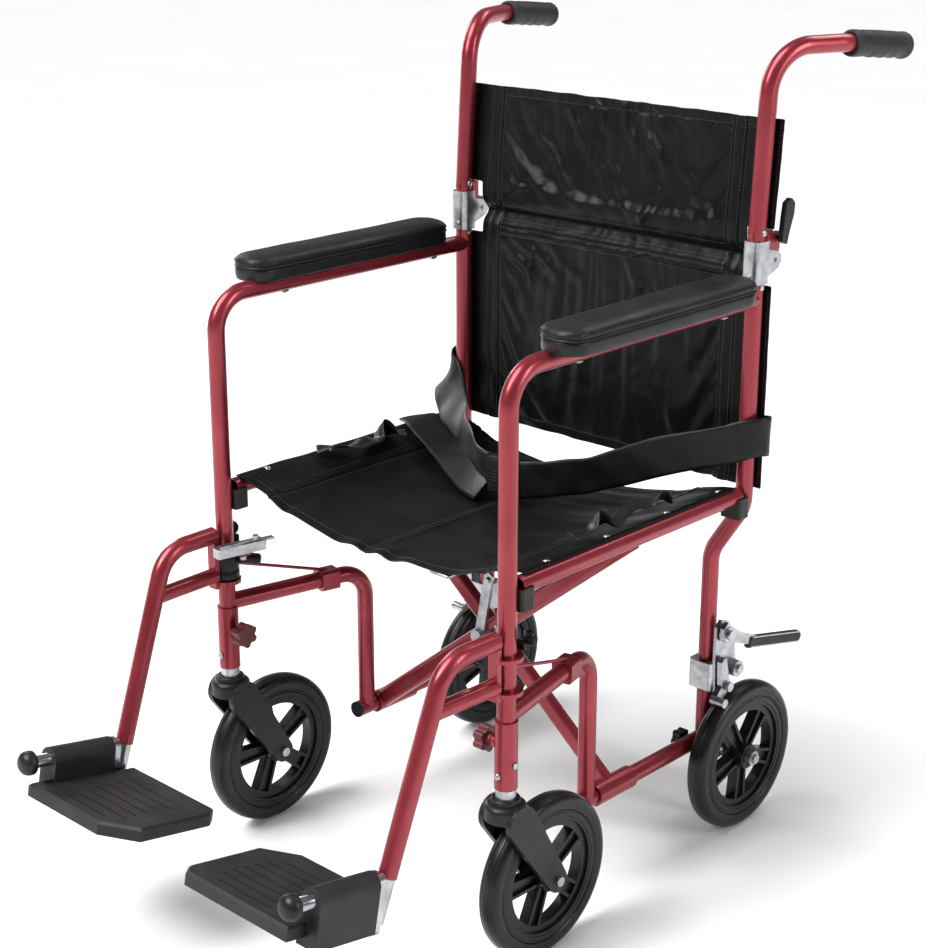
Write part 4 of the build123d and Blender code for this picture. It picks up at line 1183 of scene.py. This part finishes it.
def arm_pad_base(side):
    """Moulded base under the pad, with the same rounded ends, and its screws below the arm tube."""
    name = SIDE_NAME[side]
    low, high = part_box(name + "_arm_pad")
    half_x, half_y = (high.x - low.x) / 2 - 0.0008, (high.y - low.y) / 2 - 0.0008
    shell = stacked_outline(
        "shell", (low + high) / 2, PAD_FOOT, half_x, half_y, BASE_PROFILE, MATERIAL["black_plastic"],
        lambda plan, normal, height: (0.0, 0.0),
    )
    heads = [
        screw((side * POST_X, y, ARM_Z - TUBE_R), (0, 0, -1), 0.0042, 0.0026)
        for y in (low.y + 0.058, high.y - 0.024)
    ]
    base_screws = joined(name + "_arm_pad_screws", heads)
    shell.name = name + "_arm_pad_shell"
    for piece, slot in ((shell, "black_plastic"), (base_screws, "fitting_steel")):
        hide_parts(name + "_arm_pad_base")
        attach(piece, name + "_frame")


# ---------------------------------------------------------------- grips

SOCKET_R = 0.0112  # the grip's bore, a little over the tube's radius


def grip(side):
    """Moulded push-handle grip: collar, oval palm swell, finger ridges, cut flats and a rounded flange."""
    name = SIDE_NAME[side]
    end = Vector((side * (POST_X + 0.046), BACK_Y + 0.013 + 0.212, 1.028 - 0.011))
    start = Vector((side * (POST_X + 0.0335), BACK_Y + 0.013 + 0.099, 1.028))
    along = (end - start).normalized()
    total = 0.110
    first = end + along * 0.006 - along * total
    side_axis, up_axis = frame_on(along)
    stations = [0.0, 0.0010, 0.0030, 0.0060, 0.0100, 0.0130, 0.0150]
    stations += spaced(0.018, 0.096, 0.0022) + [0.0985, 0.1015, 0.1045, 0.1070, 0.1088, 0.1097, total]
    base_radius = 0.0158

    def radius(distance, angle):
        r = base_radius
        if distance < 0.004:
            r = 0.0146 + 0.0016 * (1 - (1 - distance / 0.004) ** 2) ** 0.5
        elif distance < 0.0135:
            r = 0.0162
        elif distance < 0.018:
            r = 0.0152 + 0.0006 * (distance - 0.0135) / 0.0045
        elif distance > 0.096:
            t = (distance - 0.096) / (total - 0.096)
            r = 0.0166 * (1 - max(0.0, (t - 0.35) / 0.65) ** 2.4 * 0.42)
        else:
            r += 0.0005 * sin(pi * (distance - 0.018) / 0.078)
        down = max(0.0, -sin(angle)) ** 2
        if 0.018 < distance < 0.098:
            r -= 0.0012 * down * (0.5 - 0.5 * cos(2 * pi * (distance - 0.018) / 0.0195))
            upper = max(0.0, sin(angle)) ** 3
            r += 0.0004 * upper * abs(sin(angle * 16))
            flat = exp(-(((angle % pi) - pi * 0.08) / 0.10) ** 2)
            r -= 0.0009 * flat * min(1.0, (distance - 0.018) / 0.02)
        return r

    segments = 72
    rings = [(distance, radius) for distance in stations]
    rings += [(depth, lambda distance, angle: SOCKET_R) for depth in (0.0, 0.006)]
    verts = []
    for distance, size in rings:
        for angle in full_turn(segments):
            outward = side_axis * cos(angle) + up_axis * sin(angle)
            verts.append(first + along * distance + outward * size(distance, angle))
    faces = ring_faces(len(stations), segments, caps=False)
    inner = len(stations) * segments
    for n in range(segments):
        m = (n + 1) % segments
        faces.append((n, inner + n, inner + m, m))
        faces.append((inner + n, inner + segments + n, inner + segments + m, inner + m))
    faces.append(tuple(range(inner + segments, inner + 2 * segments)))
    faces.append(tuple(range(inner - segments, inner)))
    made = mesh_object(name + "_grip_rubber", verts, faces, MATERIAL["grip_rubber"])
    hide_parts(name + "_push_grip")
    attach(made, name + "_cane")
    return made


# ---------------------------------------------------------------- tyres


def tyre(node, body):
    """Solid tyre: rounded tread with two fine moulding lines, side beads and an inner step."""
    low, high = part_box(node)
    centre = (low + high) / 2
    half = [
        (0.0108, 0.0816), (0.0126, 0.0835), (0.0136, 0.0862), (0.0131, 0.0872), (0.0137, 0.0884),
        (0.0139, 0.0905), (0.0136, 0.0938), (0.0124, 0.0968), (0.0100, 0.0994), (0.0072, 0.1007),
        (0.0064, 0.1009), (0.0060, 0.1004), (0.0056, 0.1010), (0.0030, WHEEL_R - 0.00005),
    ]
    left = [(-x, radius) for x, radius in half]
    profile = left + [(0.0, WHEEL_R)] + half[::-1] + [(0.0, 0.0816), left[0]]
    made = lathe(node + "_rubber", (centre.x, centre.y, WHEEL_R), (1, 0, 0), profile, MATERIAL["tyre"], 128)
    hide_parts(node)
    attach(made, body)
    return made


def wheel_trim(name, place, body):
    """Hub cap ring, bearing and the rim's bead, on both faces of a wheel."""
    parts = []
    for face in (-1, 1):
        bearing = [
            (0.0135, 0.0160), (0.0158, 0.0160), (0.0164, 0.0150), (0.0160, 0.0128), (0.0150, 0.0120),
            (0.0152, 0.0096), (0.0135, 0.0092),
        ]
        parts.append(lathe("hub", place, (face, 0, 0), bearing + [bearing[0]], MATERIAL["rim_plastic"]))
        bead = [
            (0.0100, 0.0735), (0.0122, 0.0745), (0.0126, 0.0765), (0.0118, 0.0790), (0.0105, 0.0812),
            (0.0098, 0.0770),
        ]
        parts.append(lathe("bead", place, (face, 0, 0), bead + [bead[0]], MATERIAL["rim_plastic"], 128))
    made = joined(name, parts)
    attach(made, body)
    return made


# ---------------------------------------------------------------- pin, brake grip, latch trim, rivets

PIN_PLACE = Vector((0.232, -0.420, 0.209))
PIN_AXIS = Vector((0, cos(radians(11)), -sin(radians(11))))
LEVER_LINE = ((0.326, 0.257), (0.430, 0.232))
RIVET_R = 0.0042


def footplate_pin(side):
    """Plated hinge pin and the black domed cap on its front end."""
    name = SIDE_NAME[side]
    start = Vector((side * PIN_PLACE.x, PIN_PLACE.y, PIN_PLACE.z))
    rod = [(-0.0675, 0.0074), (-0.0670, 0.0080), (0.0542, 0.0080), (0.0550, 0.0072)]
    cap = [
        (-0.0655, 0.0100), (-0.0655, 0.0134), (-0.0662, 0.0144), (-0.0680, 0.0149), (-0.0705, 0.0150),
        (-0.0735, 0.0147), (-0.0765, 0.0135), (-0.0790, 0.0113), (-0.0807, 0.0085), (-0.0817, 0.0050),
        (-0.0820, 0.0012),
    ]
    for label, profile, slot in (("rod", rod, "chrome_tube"), ("cap", cap, "black_plastic")):
        made = lathe(f"{name}_footplate_pin_{label}", start, PIN_AXIS, profile, MATERIAL[slot], 48)
        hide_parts(name + "_footplate_pin")
        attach(made, name + "_pin")


def flat_bar(name, points, half_tall, half_thick, material, wide=Vector((1, 0, 0))):
    """A bar of rounded-rectangle section along points. half_tall(t) and half_thick(t) shape its ends."""
    verts = []
    section = 20
    count = len(points)
    for n, point in enumerate(points):
        t = n / (count - 1)
        ahead = (points[min(n + 1, count - 1)] - points[max(n - 1, 0)]).normalized()
        tall = wide.cross(ahead).normalized()
        for angle in full_turn(section):
            c, d = cos(angle), sin(angle)
            across = abs(c) ** 0.55 * (1 if c > 0 else -1) * half_thick(t)
            upward = abs(d) ** 0.75 * (1 if d > 0 else -1) * half_tall(t)
            verts.append(point + wide * across + tall * upward)
    return mesh_object(name, verts, ring_faces(count, section), material)


def brake_grip(side):
    """Dipped black cover over the brake lever's end."""
    name = SIDE_NAME[side]
    a, b = (Vector((side * 0.225, y, z)) for y, z in LEVER_LINE)
    along = (b - a).normalized()
    start, end = a - along * 0.0085, b + along * 0.0090
    length = (end - start).length
    steps = [0.0, 0.006, 0.02] + [0.06 + 0.86 * n / 14 for n in range(15)]
    steps += [0.94, 0.955, 0.97, 0.982, 0.991, 0.997, 1.0]
    points = [start.lerp(end, t) for t in steps]

    def rounded(full, radius, at_start):
        def size(t):
            index = round(t * (len(steps) - 1))
            distance = (1 - steps[index]) * length
            ending = full
            if distance < radius:
                ending = full * max(0.12, (1 - (1 - distance / radius) ** 2) ** 0.5)
            return ending * (at_start if index == 0 else 1)

        return size

    tall, thick = rounded(0.0084, 0.0088, 0.93), rounded(0.0052, 0.0050, 0.85)
    made = flat_bar(name + "_brake_grip", points, tall, thick, MATERIAL["grip_rubber"])
    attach(made, name + "_brake_lever")


def latch_trim(side):
    """Black mouldings of the legrest latch: half collar, nose, and thumb paddle on its stem."""
    name = SIDE_NAME[side]
    x, y = side * POST_X, FRONT_Y
    plastic = MATERIAL["black_plastic"]
    inward = 0 if side < 0 else pi
    arc, inner, outer = 22, 0.0118, 0.0172
    angles = [inward - pi / 2 + pi * n / arc for n in range(arc + 1)]
    outline = [(outer, angle) for angle in angles] + [(inner, angle) for angle in reversed(angles)]
    levels = [
        (0.3645, 0.0008), (0.3655, 0.0), (0.3760, 0.0), (0.3768, 0.0012), (0.3780, 0.0), (0.3975, 0.0),
        (0.3985, 0.0008),
    ]
    verts = []
    for z, inset in levels:
        for radius, angle in outline:
            r = radius - inset if radius == outer else radius
            verts.append(Vector((x + r * cos(angle), y + r * sin(angle), z)))
    collar = mesh_object("collar", verts, ring_faces(len(levels), len(outline)), plastic)
    nose = flat_bar(
        "nose",
        [
            Vector((x - side * (0.014 + 0.022 * t), y + 0.010 + 0.018 * t, 0.3925 - 0.002 * t))
            for t in (0, 0.2, 0.6, 0.9, 1.0)
        ],
        lambda t: 0.0062 * (1 if t < 0.85 else 0.6),
        lambda t: 0.0080 * (1 if t < 0.85 else 0.6),
        plastic,
        Vector((0.63, 0.78 * side, 0)),
    )
    paddle = lathe(
        "paddle",
        (x + side * 0.0150, y + 0.0225, 0.4225),
        (0.25 * side, 1, 0),
        [
            (-0.0034, 0.002), (-0.0032, 0.0078), (-0.0018, 0.0102), (0.0010, 0.0108), (0.0028, 0.0090),
            (0.0034, 0.0050), (0.0034, 0.002),
        ],
        plastic,
        40,
        lambda angle, along: 1 + 0.10 * cos(2 * angle) + 0.05 * sin(3 * angle),
    )
    stem_place = (x + side * 0.004, y + 0.0185, 0.4120)
    stem = rounded_box("stem", stem_place, (0.016, 0.006, 0.012), 0.002, plastic)
    made = joined(name + "_latch_trim", [collar, nose, paddle, stem])
    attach(made, name + "_hanger")


def rivets(name, places, body):
    """Domed rivet heads, each given by its place and its outward direction."""
    profile = [
        (-0.0012, RIVET_R * 0.95), (0.0, RIVET_R), (0.0006, RIVET_R * 0.97), (0.0013, RIVET_R * 0.8),
        (0.0018, RIVET_R * 0.5), (0.0020, RIVET_R * 0.1),
    ]
    heads = [lathe("head", place, axis, profile, MATERIAL["fitting_steel"], 20) for place, axis in places]
    made = joined(name, heads)
    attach(made, body)


# ---------------------------------------------------------------- put together

for side, name in ((1, "left"), (-1, "right")):
    arm_pad(side)
    arm_pad_base(side)
    grip(side)
    footplate_pin(side)
    brake_grip(side)
    latch_trim(side)
    x = side * POST_X
    cane_heads = [((x + way * TUBE_R, BACK_Y, 0.812), (way, 0, 0)) for way in (-1, 1)]
    rivets(name + "_cane_rivets", cane_heads, name + "_cane")
    frame_heads = [((x + way * TUBE_R, BACK_Y, 0.7455), (way, 0, 0)) for way in (-1, 1)]
    frame_heads += [
        ((x + side * 0.0147, FRONT_Y, 0.272), (side, 0, 0)),
        ((x, FRONT_Y - 0.0147, 0.259), (0, -1, 0)),
    ]
    rivets(name + "_frame_rivets", frame_heads, name + "_frame")
    tyre(name + "_caster_tyre", name + "_caster_wheel")
    tyre(name + "_rear_tyre", name + "_rear_wheel")
    wheel_trim(name + "_caster_trim", (side * 0.241, -0.105, WHEEL_R), name + "_caster_wheel")
    wheel_trim(name + "_rear_trim", (side * 0.227, 0.308, WHEEL_R), name + "_rear_wheel")

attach(tab, "brace_b")

# soft pieces get meshes of their own, and the sling and its stitching have their placement baked in
for piece in (back_upper, back_lower, upper_threads, lower_threads, left_belt, right_belt, tail):
    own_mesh(piece)
for piece in (sling, sling_threads):
    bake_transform(piece)

# carried-over CAD nodes get the material of their slot in the record
RECORD_SLOTS = {part["node"]: part["material_slot"] for part in frame["record"]["subparts"]}
for node, obj in frame["nodes"].items():
    obj.data.materials.clear()
    obj.data.materials.append(MATERIAL[RECORD_SLOTS[node]])


# ---------------------------------------------------------------- stage

floor = mesh_object(
    "floor",
    [(-30, -30, 0), (30, -30, 0), (30, 30, 0), (-30, 30, 0)],
    [(0, 1, 2, 3)],
    pale_floor(),
)


def aimed(data, place, direction):
    """A light or camera at a place, looking along a direction."""
    obj = bpy.data.objects.new(data.name, data)
    obj.location = place
    obj.rotation_mode = "QUATERNION"
    obj.rotation_quaternion = direction.to_track_quat("-Z", "Y")
    bpy.context.scene.collection.objects.link(obj)
    return obj


def area_light(name, place, target, size, power):
    data = bpy.data.lights.new(name, "AREA")
    data.shape = "RECTANGLE"
    data.size, data.size_y = size
    data.energy = power
    aimed(data, place, Vector(target) - Vector(place))


area_light("key", (-0.9, -3.0, 3.2), (0, 0, 0.5), (1.3, 1.3), 95)
area_light("side", (3.2, 0.9, 1.9), (0, 0, 0.6), (0.7, 1.9), 48)
area_light("top", (0.3, 2.2, 3.0), (0, 0, 0.5), (1.6, 0.8), 22)
area_light("rear", (-3.2, 0.9, 1.5), (0, 0, 0.6), (0.7, 1.8), 26)

sun = bpy.data.lights.new("sun", "SUN")
sun.energy = 3.4
sun.angle = radians(38)
sun_object = bpy.data.objects.new("sun", sun)
sun_object.rotation_euler = (radians(24), radians(-14), 0)
bpy.context.scene.collection.objects.link(sun_object)

world = bpy.data.worlds.new("studio")
world.use_nodes = True
world.node_tree.nodes["Background"].inputs["Color"].default_value = (1, 1, 1, 1)
world.node_tree.nodes["Background"].inputs["Strength"].default_value = 0.20
bpy.context.scene.world = world
bpy.context.scene.view_settings.view_transform = "Standard"

camera_data = bpy.data.cameras.new("camera")
camera_data.lens = LENS_MM
camera_data.sensor_width = 36
camera_data.clip_end = 200
bpy.context.scene.camera = aimed(camera_data, CAMERA_PLACE, -CAMERA_BACK)

bpy.context.view_layer.update()
